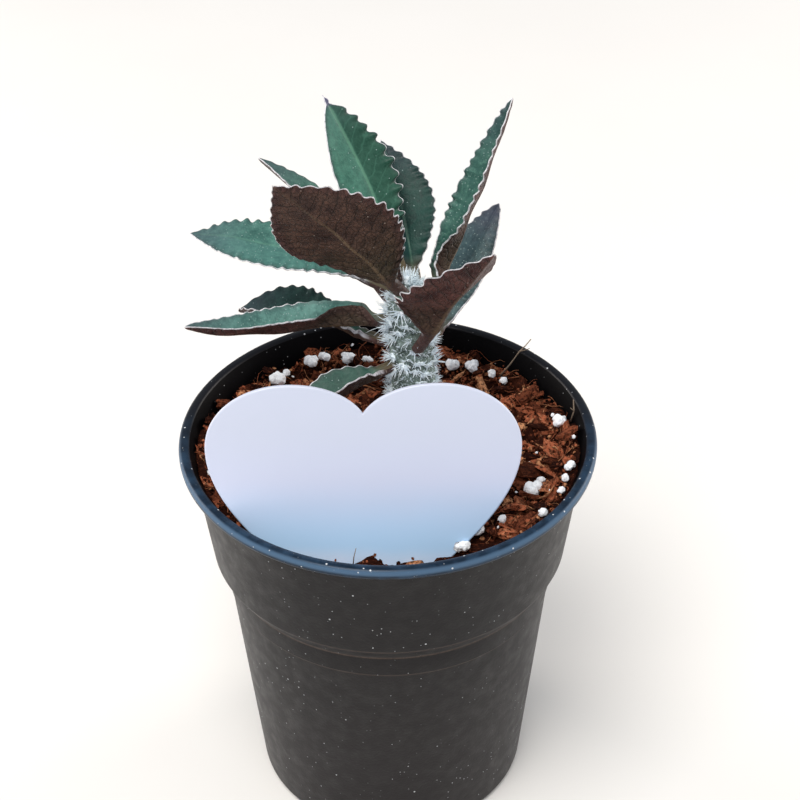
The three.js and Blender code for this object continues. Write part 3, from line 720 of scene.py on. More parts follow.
def leaf_pattern(g, blade):
    """Numbers that both faces of a leaf share: light, side veins, a fine net and its midrib."""
    along, across, _ = g.axes(blade)
    off_rib = g.math("ABSOLUTE", across)
    cloud = g.noise(blade, 0.16, 4, 0.6)
    patch = g.noise(blade, 0.5, 4, 0.65)
    slant = g.math("SUBTRACT", along, g.times(off_rib, 0.8))
    wobble = g.times(g.noise(blade, 0.3, 2), 3.4)
    pitch = g.math("DIVIDE", g.plus(slant, wobble), 2.9)
    cells = g.cells(g.scaled(blade, (0.8, 1.25, 1.0)), 0.85, "DISTANCE_TO_EDGE")["Distance"]
    return {
        "cloud": cloud,
        "patch": patch,
        "light": g.plus(g.times(cloud, 0.6), g.times(patch, 0.4)),
        "vein": g.between(g.math("PINGPONG", pitch, 0.5), 0.10, 0.02),
        "net": g.between(cells, 0.17, 0.02),
        "rib": g.between(off_rib, 0.5, 0.12),
    }


def leaf_upper(g, leaf, pattern, blade, share, edge, stalk):
    """Colour of the upper face: mottled green, painted light, bluer, on its left half and painted shade on
    its right, a paler midrib, a dusky tip and rim, pale specks.
    """
    deep, pale = UPPER_COLOURS[leaf["upper"]]
    painted_light_left = tuple(0.5 * (a + b) + c for a, b, c in zip(deep, pale, (0.004, 0.012, 0.03)))
    painted_shade_right = tuple(0.7 * a for a in deep)
    brighter = tuple(1.35 * a + 0.02 for a in pale)
    across = g.axes(blade)[1]
    light = g.plus(g.times(pattern["light"], 0.7), g.times(g.noise(blade, 1.4, 4, 0.7), 0.3))
    blotch = g.noise(blade, 1.3, 4, 0.7)
    ahead = g.plus(share, g.times(pattern["cloud"], 0.3))
    layers = [
        # Painted light on the left half and painted shade on the right half, for how light falls on the
        # folded blade
        (g.between(across, -1.0, 1.5, 0.0, 0.35), painted_light_left),
        (g.between(across, 0.5, -1.0, 0.0, leaf["painted_shade_right_share"]), painted_shade_right),
        (g.times(pattern["net"], 0.06), pale),
        (g.times(pattern["vein"], 0.2), pale),
        (g.times(pattern["rib"], leaf["rib"]), (0.15, 0.33, 0.22)),
        (g.specks(blade, 1.9, 0.28, leaf["frost"] * 0.6), (0.27, 0.37, 0.35)),
        (g.between(blotch, 0.5, 0.68, 0.0, 0.6 * leaf["frost"]), brighter),
        (g.between(ahead, 0.80, 1.12, 0.0, leaf["tip"] + 0.15), (0.060, 0.060, 0.095)),
        (g.between(edge, 1.1, 0.3, 0.0, 0.35), (0.045, 0.050, 0.055)),
    ]
    spike = leaf["spike"] / leaf["length"]
    if spike:
        layers.append((g.between(share, 1 - 1.6 * spike, 1 - spike, 0.0, 0.9), (0.10, 0.09, 0.16)))
    layers.append((g.times(stalk, 0.8), (0.13, 0.085, 0.045)))
    return g.over(g.mix(g.between(light, 0.38, 0.62), deep, pale), *layers)


def leaf_under(g, leaf, pattern, blade, share, edge, stalk):
    """Colour of the lower face: brown, olive towards the base, purple along the margin, dark net."""
    deep, pale = UNDER_COLOURS[leaf["under"]]
    return g.over(
        g.mix(g.between(pattern["light"], 0.38, 0.62), deep, pale),
        (g.between(share, 0.6, 0.15, 0.0, 0.7), (0.074, 0.062, 0.036)),
        (g.between(edge, 3.0, 0.6, 0.0, 0.4), (0.062, 0.018, 0.022)),
        (g.times(pattern["net"], 0.38), (0.014, 0.006, 0.005)),
        (g.times(pattern["vein"], 0.6), (0.018, 0.009, 0.006)),
        (g.times(pattern["rib"], g.between(share, 0.9, 0.4, 0.15, 0.85)), (0.160, 0.105, 0.062)),
        (g.times(stalk, 0.8), (0.110, 0.058, 0.052)),
        (g.specks(blade, 0.8, 0.14, 0.16), (0.34, 0.27, 0.23)),
    )


def leaf_relief(g, pattern, blade, face):
    """Height of the skin: lumps and sunken veins, both stronger on the lower face."""
    raised = g.plus(g.times(pattern["patch"], 0.9), g.times(g.noise(blade, 2.6, 3), 0.35))
    sunk = g.plus(g.times(pattern["vein"], 0.5), g.times(pattern["net"], 0.4))
    sunk = g.times(sunk, g.between(face, 0.35, 0.65, 1.0, 0.1))
    return g.times(g.math("SUBTRACT", raised, sunk), g.between(face, 0.35, 0.65, 2.4, 1.0))


def leaf_material(name, leaf):
    """A leaf's two faces: green above, brown and crinkled below, and a white crisped margin."""
    g = Graph(name)
    blade = g.attribute("blade", "Vector")
    edge = g.attribute("edge")
    share = g.attribute("share")
    pattern = leaf_pattern(g, blade)
    stalk = g.between(share, leaf["stalk"] + 0.14, leaf["stalk"] - 0.02)
    upper = leaf_upper(g, leaf, pattern, blade, share, edge, stalk)
    under = leaf_under(g, leaf, pattern, blade, share, edge, stalk)
    face = g.axes(blade)[2]
    worn = g.between(g.noise(blade, 1.1, 3), 0.25, 0.55, 0.2, 1.0)
    line_from = max(leaf["stalk"], leaf["line_from"])
    on_blade = g.between(share, line_from, line_from + 0.08)
    line = g.times(g.times(g.between(edge, 0.24, 0.08), worn), on_blade)
    return g.finish(
        Base_Color=g.over(under, (g.between(face, 0.35, 0.65), upper), (line, (0.74, 0.72, 0.75))),
        Roughness=g.between(pattern["patch"], 0.3, 0.7, 0.42, 0.58),
        Specular_IOR_Level=0.26,
        Normal=g.bump(leaf_relief(g, pattern, blade, face), 0.14),
    )


def floor_material():
    g = Graph("pale_floor")
    return g.finish(
        Base_Color=g.mix(g.noise(g.place(), 0.01, 3), (0.80, 0.775, 0.74), (0.84, 0.82, 0.79)),
        Roughness=0.7,
    )


# Plant


def stem_axis(height):
    """Centre of the stem at heights above the rim."""
    share = (np.asarray(height, float) - STEM_FOOT[0]) / (STEM_TOP[0] - STEM_FOOT[0])
    x = STEM_FOOT[1] + (STEM_TOP[1] - STEM_FOOT[1]) * share
    y = STEM_FOOT[2] + (STEM_TOP[2] - STEM_FOOT[2]) * share
    return np.stack([x, y, RIM_LEVEL + height], -1)


def stem_radius(height):
    levels, radii = zip(*STEM_PROFILE)
    return np.interp(height, levels, radii)


def tuft_seats():
    """Height and compass angle of every tuft, in one spiral up the stem."""
    rng = np.random.default_rng(TUFTS["seed"])
    index = np.arange(TUFTS["count"])
    share = (index + rng.uniform(0, 0.8, len(index))) / len(index)
    height = TUFTS["low"] + (TUFTS["high"] - TUFTS["low"]) * share
    angle = index * math.pi * (3 - math.sqrt(5)) + rng.uniform(-0.12, 0.12, len(index))
    return np.stack([height, angle], -1)


def over_skin(height, spot, place_height, place_angle, radius):
    """Distance over the stem's skin from a tuft to another place."""
    around = math.remainder(spot - math.radians(place_angle), 2 * math.pi) * radius
    return math.hypot(around, height - place_height)


def wool_at(height, spot):
    """How much wool a tuft carries: from 1 down to nearly none in the bare places."""
    off = [over_skin(height, spot, *place, BARE_RADIUS) / reach for *place, reach in BARE_PLACES]
    return min(1.0, *off)


def growth_at(height, spot):
    """How much longer than usual the bristles are."""
    growth = 1.0
    for *place, reach, more in LONG_PLACES:
        growth += more * math.exp(-(over_skin(height, spot, *place, LONG_RADIUS) / reach) ** 2)
    return growth


def make_stem(seats):
    """The bare stem, with a low knob under each tuft."""
    low, tip = STEM_PROFILE[0][0], STEM_SKIN["tip"]
    shaft = np.arange(low, tip[0] - 0.1, STEM_SKIN["step"])
    heights = np.concatenate([shaft, np.linspace(*tip, STEM_SKIN["tip_rings"])])
    sides = STEM_SKIN["sides"]
    rise, around = np.meshgrid(heights, circle(sides), indexing="ij")
    radius = stem_radius(rise)
    for height, spot in seats:
        swing = np.angle(np.exp(1j * (around - spot))) * np.maximum(radius, 1)
        distance = swing ** 2 + ((rise - height) / STEM_SKIN["knob_reach"]) ** 2
        radius = radius + STEM_SKIN["knob"] * np.exp(-distance) * (radius > 2)
    points = (stem_axis(rise) + polar(radius, around, 0)).reshape(-1, 3)
    return new_object("stem_skin", points, capped_rings(len(heights), sides), stem_material())


def bristle_path(rng, seat, axes, share, lift, size):
    """Points along a bristle of a tuft. Shares from -1 to 1 fan out to both sides."""
    outward, beside, upward = axes

    def stray(key):
        return rng.uniform(-BRISTLES[key], BRISTLES[key])

    spread = share + stray("stray")
    root = seat + beside * BRISTLES["row"] * spread + upward * stray("stray_root")
    ahead = outward + beside * BRISTLES["fan"] * spread + upward * (lift + stray("stray_lift"))
    ahead /= np.linalg.norm(ahead)
    length = size * rng.uniform(*BRISTLES["length"]) * (1 - 0.3 * abs(share))
    droop = upward * stray("droop") * length
    steps = np.linspace(0, 1, len(BRISTLES["taper"]))[:, None]
    rooted = BRISTLES["rooted"]
    return root - ahead * rooted + ahead * steps * (length + rooted) + droop * steps ** 2


def make_bristles(seats, leaf_tree):
    """White bristles fanning out of every tuft over a pad of wool, kept clear of the leaves."""
    rng = np.random.default_rng(TUFTS["seed"] + 1)
    heap = Heap()
    unit, pad_faces = ball(2)
    count, drop = CROWN["count"], CROWN["drop"]
    crown = [(CROWN["top"] - drop * i / count, CROWN["turn"] * i) for i in range(count)]

    def is_clear(points):
        return min(leaf_tree.find(Vector(p))[2] for p in points) > TUFTS["clear_of_leaf"]

    for height, spot in [*seats, *crown]:
        outward = np.array([math.cos(spot), math.sin(spot), 0.0])
        axes = np.array([outward, (-math.sin(spot), math.cos(spot), 0.0), (0, 0, 1.0)])
        lift = BRISTLES["lift"] + BRISTLES["lift_at_top"] * float(smooth(*BRISTLES["top"], height))
        seat = stem_axis(height) + outward * (stem_radius(height) + 0.1)
        size = rng.uniform(*TUFTS["size"]) * min(1, 0.3 + wool_at(height, spot))
        grown = size * growth_at(height, spot)
        pad = lump(unit, size * np.array(TUFTS["pad"]), rng, TUFTS["pad_rough"])
        if is_clear([seat + outward * 0.4]):
            heap.add(seat + pad @ axes, pad_faces, 1.0)
        for share in np.linspace(-1, 1, int(BRISTLES["count"] * size)):
            path = bristle_path(rng, seat, axes, share, lift, grown)
            if is_clear(path[1:]):
                radii = BRISTLES["radius"] * rng.uniform(0.7, 1.3) * np.array(BRISTLES["taper"])
                heap.add(*tube(path, radii, 3), rng.uniform(0.6, 1.0))
    return heap.build("stem_bristles", bristle_material())


def leaf_frames(leaf, share):
    """Forward, left and upper directions of a leaf at shares of its length."""
    heading = np.radians(leaf["heading"] + leaf["swing"] * share)
    rise = np.radians(leaf["rise"] + leaf["curl"] * share ** leaf["bend"])
    forward = np.stack([np.cos(rise) * np.cos(heading), np.cos(rise) * np.sin(heading), np.sin(rise)], -1)
    level = np.stack([-np.sin(heading), np.cos(heading), 0 * heading], -1)
    above = np.cross(forward, level)
    roll = np.radians(leaf["roll"] + leaf["twist"] * share)[:, None]
    side = level * np.cos(roll) + above * np.sin(roll)
    up = above * np.cos(roll) - level * np.sin(roll)
    return forward, side, up


def leaf_half_width(leaf, share):
    """Half the width of the blade or stalk at shares of the length. A spiked blade ends bluntly."""
    spike = leaf["spike"] / leaf["length"]
    along = np.clip((share - leaf["stalk"]) / (1 - spike - leaf["stalk"]), 0, 1)
    skew = math.log(0.5) / math.log(leaf["widest"])
    fullness = leaf["fullness"] * (1 - 0.28 * smooth(0.6, 1, along) * (spike > 0))
    blade = leaf["width"] / 2 * np.sin(np.pi * along ** skew).clip(0) ** fullness
    stalk = BLADE["stalk_width"] / 2 * (1 - smooth(leaf["stalk"], leaf["stalk"] + 0.25, share))
    stalk = np.minimum(stalk, leaf["width"] / 2)
    return np.maximum(blade, stalk)


def leaf_fold(leaf, share):
    """How far either half of the blade folds up at shares of the length, more so near the base."""
    extra = leaf["base_fold"] * (1 - smooth(0.25, leaf["unfolded"], share))
    return np.radians(leaf["fold"] + extra) * smooth(0.05, leaf["folded_from"], share)


def leaf_midline(leaf):
    """Distances along the leaf, their shares of its length, and the points of its midrib."""
    length = leaf["length"]
    count = int(round(length / BLADE["row_step"]))
    step = length / count
    distance = np.arange(count + 1) * step
    share = distance / length
    seat = math.radians(leaf["seat"])
    start = stem_axis(leaf["height"]) + leaf["seat_radius"] * np.array([math.cos(seat), math.sin(seat), 0])
    forward = leaf_frames(leaf, (share[:-1] + share[1:]) / 2)[0]
    points = start + np.vstack([np.zeros(3), np.cumsum(forward * step, axis=0)])
    return distance, share, points


def drift(rng, distance, size, pace, count):
    """A slow wandering of a value along a leaf."""
    waves = [
        rng.uniform(0.6, 1.2) * np.sin(distance * rng.uniform(*pace) + rng.uniform(0, 6.3))
        for _ in range(count)
    ]
    return size * sum(waves)


def crisping(rng, distance, wave_length):
    """The rise and fall of one margin, with waves of uneven size and spacing."""
    phase = drift(rng, distance, 0.75, (0.2, 0.7), 3)
    size = 1 + drift(rng, distance, 0.3, (0.4, 1.4), 2)
    return -size * np.cos(2 * np.pi * distance / wave_length + phase)


def margin_waves(rng, leaf, distance, share):
    """The crisping of the right and the left margin, which fades at the stalk and at the tip."""
    waves = np.stack([crisping(rng, distance, leaf["wave_length"]) for _ in range(2)], -1)
    waves *= (leaf["crisp_right"], leaf["crisp_left"])
    fade = smooth(leaf["stalk"], leaf["stalk"] + 0.15, share) * (1 - smooth(0.93, 1, share))
    fade *= 1 - leaf["calmer_tip"] * smooth(0.45, 0.95, share)
    return waves, fade[:, None]


def leaf_swells(rng, distance, lane):
    """Slow swells of the whole blade, along it and across its lanes."""
    along = distance[:, None]
    return BLADE["swell"] * sum([
        np.sin(along * rng.uniform(0.25, 0.6) + lane * rng.uniform(-3, 3) + rng.uniform(0, 6.3))
        for _ in range(3)
    ])


def leaf_thickness(leaf, share, lane, across, inward):
    """How far the upper and the lower face stand off the middle, over the stalk and the blade."""
    opened = smooth(leaf["stalk"], leaf["stalk"] + 0.3, share)[:, None]
    rim = np.clip(inward / BLADE["edge_round"], 0, 1)
    rim = np.sqrt(1 - (1 - rim) ** 2)
    taper = (1 - 0.55 * smooth(0.3, 1, share))[:, None]
    keel = BLADE["keel"] * taper * np.exp(-(np.abs(across) / BLADE["keel_width"]) ** 1.6)
    groove = BLADE["groove"] * np.exp(-(across / BLADE["groove_width"]) ** 2)
    blade_above = BLADE["top"] * rim - groove * np.minimum(1, inward)
    blade_below = BLADE["field"] * rim * taper + keel * np.minimum(1, inward)
    stalk_above = BLADE["stalk_above"] * (1 - lane ** 4) - 0.22 * (1 - np.abs(lane)) ** 2
    stalk_below = BLADE["stalk_below"] * np.sqrt(1 - lane ** 2) * np.minimum(1, leaf["width"] / 8)
    above = stalk_above + (blade_above - stalk_above) * opened
    below = stalk_below + (blade_below - stalk_below) * opened
    return above[..., None], below[..., None]


def leaf_sheets(name, leaf):
    """Points of a leaf's upper and lower faces, with its edge distances and blade coordinates.

    A lane is a place across the blade, from -1 at the right margin to 1 at the left one.
    """
    rng = np.random.default_rng(sum(ord(letter) for letter in name))
    distance, share, centre = leaf_midline(leaf)
    forward, side, up = leaf_frames(leaf, share)
    waves, fade = margin_waves(rng, leaf, distance, share)

    lane = np.sin(np.linspace(-1, 1, 2 * BLADE["half_columns"] + 1) * math.pi / 2)[None, :]
    to_tip = leaf["length"] - distance
    tip_half = BLADE["spike_half"] if leaf["spike"] else BLADE["tip_half"]
    least = 0.1 + tip_half * smooth(0, leaf["spike"] or BLADE["tip_length"], to_tip)
    half = np.maximum(leaf_half_width(leaf, share), least)[:, None]
    across = lane * half
    inward = (1 - np.abs(lane)) * half
    wave = np.where(lane < 0, waves[:, :1], waves[:, 1:]) * fade
    falloff = np.exp(-(inward / BLADE["wave_depth"]) ** 1.4)
    tooth = BLADE["tooth"] * np.tanh(1.3 * wave) * falloff * np.sign(lane)
    ripple = leaf_swells(rng, distance, lane) * fade * np.minimum(1, inward + np.abs(lane))

    fold = leaf_fold(leaf, share)[:, None]
    crease = BLADE["crease"]
    rounded = np.sqrt(lane ** 2 + crease ** 2)
    lateral = across * np.cos(fold) + tooth
    lift = (rounded - crease) * half * np.sin(fold)
    normal = up[:, None] - side[:, None] * (np.tan(fold) * lane / rounded)[..., None]
    normal /= np.linalg.norm(normal, axis=-1, keepdims=True)
    middle = centre[:, None] + side[:, None] * lateral[..., None] + up[:, None] * lift[..., None]
    middle = middle + normal * (BLADE["wave_height"] * wave * falloff + ripple)[..., None]

    above, below = leaf_thickness(leaf, share, lane, across, inward)
    return {
        "upper": middle + normal * above, "lower": middle - normal * below, "middle": middle,
        "blade": np.stack([np.broadcast_to(distance[:, None], across.shape), across], -1),
        "edge": inward, "share": np.broadcast_to(share[:, None], across.shape), "forward": forward,
    }


def make_leaf(name, leaf, sheets):
    """A closed blade: each row is a loop over the upper face and back under the lower one."""

    def loop(top, bottom):
        return np.concatenate([top, bottom[:, -2:0:-1]], axis=1)

    ring = loop(sheets["upper"], sheets["lower"])
    root = ring[:1] - sheets["forward"][:1, None] * BLADE["root_in_stem"]
    rings = np.concatenate([root, ring])
    rows, columns = rings.shape[:2]
    faces = capped_rings(rows, columns, reverse=True)
    piece = new_object(name + "_blade", rings.reshape(-1, 3), faces, leaf_material(name + "_skin", leaf))

    def spread(values):
        values = np.concatenate([values[:1], values])
        return values.reshape(rows * columns, *values.shape[2:])

    shape = sheets["edge"].shape
    side = loop(np.ones(shape), np.zeros(shape))
    side[:, [0, shape[1] - 1]] = 0.5
    blade = np.concatenate([loop(sheets["blade"], sheets["blade"]), side[..., None]], -1)
    add_point_values(piece, "blade", spread(blade))
    for value in ("edge", "share"):
        add_point_values(piece, value, spread(loop(sheets[value], sheets[value])))
    return piece


# Pot, compost and label


def cut_drains(pot):
    """Cuts the drain holes through the underside."""
    shape = bmesh.new()
    for i in range(DRAIN["count"]):
        angle = (i + 0.5) * 2 * math.pi / DRAIN["count"]
        place = Vector((math.cos(angle), math.sin(angle), 0)) * DRAIN["ring"] * MM
        bmesh.ops.create_cone(
            shape, cap_ends=True, segments=DRAIN["sides"], radius1=DRAIN["radius"] * MM,
            radius2=DRAIN["radius"] * MM, depth=DRAIN["depth"] * MM, matrix=Matrix.Translation(place),
        )
    mesh = bpy.data.meshes.new("drain_cutter")
    shape.to_mesh(mesh)
    shape.free()
    cutter = add_object("drain_cutter", mesh)
    cut = pot.modifiers.new("drain", "BOOLEAN")
    cut.object = cutter
    cut.solver = "EXACT"
    bpy.context.view_layer.objects.active = pot
    bpy.ops.object.modifier_apply(modifier=cut.name)
    bpy.data.objects.remove(cutter)


def paint_shade_inside(pot):
    """Gives the faces on the inner side of the wall their own material, with painted shade."""
    x, y, height = np.array([v.co for v in pot.data.vertices]).T / MM
    radii, levels = zip(*POT_INSIDE[3::-1], POT_OUTSIDE[-1])
    inner = np.interp(height, levels, radii) + POT_INNER_SIDE["within"]
    inside = (np.hypot(x, y) < inner) & (height > POT_INNER_SIDE["low"])
    inside &= height < POT_INNER_SIDE["high"]
    pot.data.materials.append(pot_inside_painted_shade_material())
    for face in pot.data.polygons:
        face.material_index = int(inside[list(face.vertices)].all())


def make_pot():
    points, faces = turned(POT_OUTSIDE + POT_INSIDE, POT_SIDES)
    pot = new_object("pot_wall", points, faces, pot_material())
    cut_drains(pot)
    pot.data.set_sharp_from_angle(angle=math.radians(POT_SHARP_ANGLE))
    paint_shade_inside(pot)
    return pot


def soil_height(x, y):
    """Level of the compost: a low uneven mound, banked up against the side walls, low in front."""
    reach = np.hypot(x, y)
    radius = reach / SOIL["mound_radius"]
    narrow = np.where(np.asarray(y) > 0, SOIL["narrow_back"], SOIL["narrow_front"])
    sideways = (np.abs(x) / np.maximum(reach, 1)) ** narrow
    bank = SOIL["back_bank"] + (SOIL["side_bank"] - SOIL["back_bank"]) * sideways
    bank = bank * smooth(SOIL["bank_from"], SOIL["bank_to"], reach)
    grain = np.sin(0.83 * x + 1.7) * np.sin(0.71 * y + 0.4) + 0.6 * np.sin(0.39 * x - 0.52 * y)
    drop = SOIL["front_drop"] * smooth(SOIL["front_from"], SOIL["front_to"], -y)
    mound = SOIL["mound"] * (1 - radius ** 2)
    return SOIL_LEVEL + SOIL["fall"] * y + mound + bank + SOIL["relief"] * grain - drop


def wall_radius(height):
    """The furthest that compost reaches at a height, just short of the pot's inner wall."""
    levels, radii = zip(*SOIL["wall"])
    return np.interp(height, levels, radii)


def label_axes():
    """The label's foot, its upward and forward directions."""
    lean = math.radians(LABEL["lean"])
    foot = np.array([LABEL["centre_x"], LABEL["front_y"], LABEL["foot"]])
    upward = np.array([0, math.sin(lean), math.cos(lean)])
    return foot, upward, np.array([0, -math.cos(lean), math.sin(lean)])


def bezier(a, b, c, d, count):
    """Points along a cubic curve, without its last one."""
    t = np.linspace(0, 1, count, endpoint=False)[:, None]
    a, b, c, d = (np.asarray(p, float) for p in (a, b, c, d))
    return a * (1 - t) ** 3 + 3 * b * t * (1 - t) ** 2 + 3 * c * t ** 2 * (1 - t) + d * t ** 3


def heart_outline():
    """The heart from its point round the right side and back down the left."""
    half, lobe = LABEL["half"], LABEL["lobe"]
    widest, crest, cleft = (half, LABEL["extreme"]), (LABEL["lobe_half"], lobe), (0, LABEL["cleft"])
    flank_count, shoulder_count, cleft_count = LABEL["curve_points"]
    right = np.vstack([
        bezier((0, -LABEL["point"]), (12, -5), (half - 0.7, 9), widest, flank_count),
        bezier(widest, (half + 0.6, lobe - 6), (25, lobe), crest, shoulder_count),
        bezier(crest, (8, lobe), (2.5, lobe - 2.5), cleft, cleft_count),
        [cleft],
    ])
    left = right[1:-1][::-1] * (-1, 1)
    return np.vstack([right, left])


def clear_of_label(points):
    """Moves the points of a piece of litter out of the label, to the side that its middle is on."""
    foot, upward, forward = label_axes()
    level = (points - foot) @ upward
    depth = (points - foot) @ forward
    flank = heart_outline()[:LABEL["curve_points"][0]]
    half = np.interp(level, flank[:, 1], flank[:, 0], left=0)
    beside = np.abs(points[:, 0] - foot[0]) < half + CLEARANCE["label_edge"]
    if depth.mean() > -LABEL["thickness"] / 2:
        goal = np.maximum(depth, CLEARANCE["label"])
    else:
        goal = np.minimum(depth, -LABEL["thickness"] - CLEARANCE["label"])
    return points + np.where(beside, goal - depth, 0)[:, None] * forward


def clear_of_neighbours(points):
    """Moves the points of a piece of litter out of the pot's wall, the stem and the label."""
    points = points.copy()
    radius = np.hypot(points[:, 0], points[:, 1])
    most = wall_radius(points[:, 2]) - CLEARANCE["wall"]
    points[:, :2] *= np.minimum(1, most / np.maximum(radius, 0.1))[:, None]
    height = points[:, 2] - RIM_LEVEL
    off = points[:, :2] - stem_axis(height)[:, :2]
    distance = np.linalg.norm(off, axis=1)
    least = stem_radius(height) + CLEARANCE["stem"]
    points[:, :2] += off * (np.maximum(1, least / np.maximum(distance, 0.1)) - 1)[:, None]
    return clear_of_label(points)


def soil_place(rng):
    reach = SOIL["reach"] * math.sqrt(rng.uniform(0, 1))
    angle = rng.uniform(0, 2 * math.pi)
    return np.array([reach * math.cos(angle), reach * math.sin(angle)])


def make_soil_body():
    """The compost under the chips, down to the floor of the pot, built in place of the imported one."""
    sides = SOIL["sides"]
    shares = np.linspace(0, 1, SOIL["rings"] + 1)[1:]
    angle = circle(sides)
    direction = np.stack([np.cos(angle), np.sin(angle)], -1)
    edge = np.full_like(angle, wall_radius(SOIL_LEVEL))
    for _ in range(4):
        edge = wall_radius(soil_height(*(direction * edge[:, None]).T)) - 0.1
    share, around = np.meshgrid(shares[::-1], angle, indexing="ij")
    x, y = edge * share * np.cos(around), edge * share * np.sin(around)
    rough = np.array([noise.noise(Vector((a, b, 7.3)) * 0.9) for a, b in zip(x.ravel(), y.ravel())])
    z = soil_height(x, y) - SOIL["skin"] + SOIL["rough"] * rough.reshape(x.shape)
    walls = [polar(radius, angle, height) for height, radius in SOIL["wall"][:3]]
    rows = np.concatenate([walls, np.stack([x, y, z], -1)])
    top = (0, 0, float(soil_height(0, 0)) - SOIL["skin"])
    points = np.vstack([rows.reshape(-1, 3), top, (0, 0, SOIL["wall"][0][0])])
    faces = ring_quads(len(rows), sides)
    last = (len(rows) - 1) * sides
    for i in range(sides):
        after = (i + 1) % sides
        faces.append((last + i, last + after, len(points) - 2))
        faces.append((after, i, len(points) - 1))
    piece = new_object("compost_body", points, faces, chip_material())
    add_point_values(piece, "tone", np.full(len(points), 0.05))
    add_point_values(piece, "grain", points)
    return piece


def in_front_of_label(y):
    return y < LABEL["front_y"] + LABEL["front_depth"]


def litter_level(rng, kind, x, y):
    """Height of the middle of a chip or crumb."""
    sunk = kind["sunk_in_front"] if in_front_of_label(y) else kind["sunk"]
    return soil_height(x, y) + rng.uniform(*kind["level"]) - sunk


def coir_tone(rng):
    """Mostly dark and rusty, with a few tan pieces."""
    return rng.uniform(0, 0.8) ** 1.5 if rng.uniform() < 0.88 else rng.uniform(0.7, 1)


def over_perlite(x, y):
    """Whether a chip at this place would cover a perlite grain."""
    return any(math.hypot(x - px, y - py) < 0.5 * width + 0.9 for px, py, width in PERLITE)


def make_chips():
    """Rough coir chips strewn over the compost, each with its fibres along its length."""
    rng = np.random.default_rng(SOIL["seed"])
    unit, faces = ball(2)
    heap = Heap()
    for _ in range(CHIPS["count"]):
        x, y = soil_place(rng)
        if over_perlite(x, y):
            continue
        size = [rng.uniform(*CHIPS[key]) for key in ("length", "width", "thickness")]
        shape = lump(unit, size, rng, CHIPS["rough"], CHIPS["boxy"])
        shape[:, 2] += rng.uniform(-CHIPS["bow"], CHIPS["bow"]) * shape[:, 0] ** 2
        level = litter_level(rng, CHIPS, x, y)
        points = shape @ turn(rng, CHIPS["tilt"]).T + (x, y, level)
        grain = shape + rng.uniform(0, 60, 3)
        heap.add(clear_of_neighbours(points), faces, coir_tone(rng), grain)
    chips = heap.build("compost_chips", chip_material())
    chips.data.set_sharp_from_angle(angle=math.radians(CHIPS["sharp_angle"]))
    return chips


def make_crumbs():
    """Crumbs between the chips, lying lower or higher than them."""
    rng = np.random.default_rng(SOIL["seed"] + 2)
    unit, faces = ball(1)
    heap = Heap()
    for _ in range(CRUMBS["count"]):
        x, y = soil_place(rng)
        shape = lump(unit, rng.uniform(*CRUMBS["size"], 3), rng, CRUMBS["rough"])
        level = litter_level(rng, CRUMBS, x, y)
        points = shape @ turn(rng, CRUMBS["tilt"]).T + (x, y, level)
        heap.add(clear_of_neighbours(points), faces, coir_tone(rng), shape + rng.uniform(0, 60, 3))
    return heap.build("compost_crumbs", chip_material(), smooth_faces=False)


def lying_path(x, y, length, heading, rise, bow, proud):
    """Points of a strand that lies on the compost, bowed sideways, with one end raised."""
    ahead = np.array([math.cos(heading), math.sin(heading), 0])
    beside = np.array([-ahead[1], ahead[0], 0])
    steps = np.linspace(-0.5, 0.5, len(STRAND_TAPER))[:, None]
    path = ahead * steps * length + beside * bow * length * (4 * steps ** 2 - 1) + (x, y, 0)
    path[:, 2] = soil_height(path[:, 0], path[:, 1]) + proud + rise * steps[:, 0] * length
    return path


def make_fibres():
    """Coir fibres and pale sticks."""
    rng = np.random.default_rng(SOIL["seed"] + 3)
    heap = Heap()

    def add_strand(path, radius, sides, tone):
        points, faces = tube(path, radius * np.array(STRAND_TAPER), sides)
        along = np.repeat(np.arange(len(path)) * 1.0, sides)
        around = np.tile(np.arange(sides) * 1.0, len(path))
        grain = np.stack([along, around, 0 * along], -1) * 0.4 + rng.uniform(0, 60)
        heap.add(clear_of_neighbours(points), faces, tone, grain)

    for _ in range(FIBRES["count"]):
        x, y = soil_place(rng)
        if in_front_of_label(y):
            continue
        length = rng.uniform(*FIBRES["length"])
        heading = rng.uniform(0, 2 * math.pi)
        lie = [rng.uniform(*FIBRES[key]) for key in ("rise", "bow", "proud")]
        path = lying_path(x, y, length, heading, *lie)
        add_strand(path, rng.uniform(*FIBRES["radius"]), FIBRES["sides"], rng.uniform(*FIBRES["tone"]))
    for x, y, length, heading, radius in STICKS:
        lie = [STICK_SHAPE[key] for key in ("rise", "bow", "proud")]
        path = lying_path(x, y, length, math.radians(heading), *lie)
        add_strand(path, radius, STICK_SHAPE["sides"], STICK_SHAPE["tone"])
    return heap.build("compost_fibres", chip_material())


def make_twigs():
    """Thin twigs that stand up out of the compost."""
    heap = Heap()
    for path, radius in TWIGS:
        path = np.array(path, float) + (0, 0, RIM_LEVEL)
        heap.add(*tube(path, radius * np.linspace(1, 0.55, len(path)), 6), 0.5)
    return heap.build("compost_twigs", twig_material())


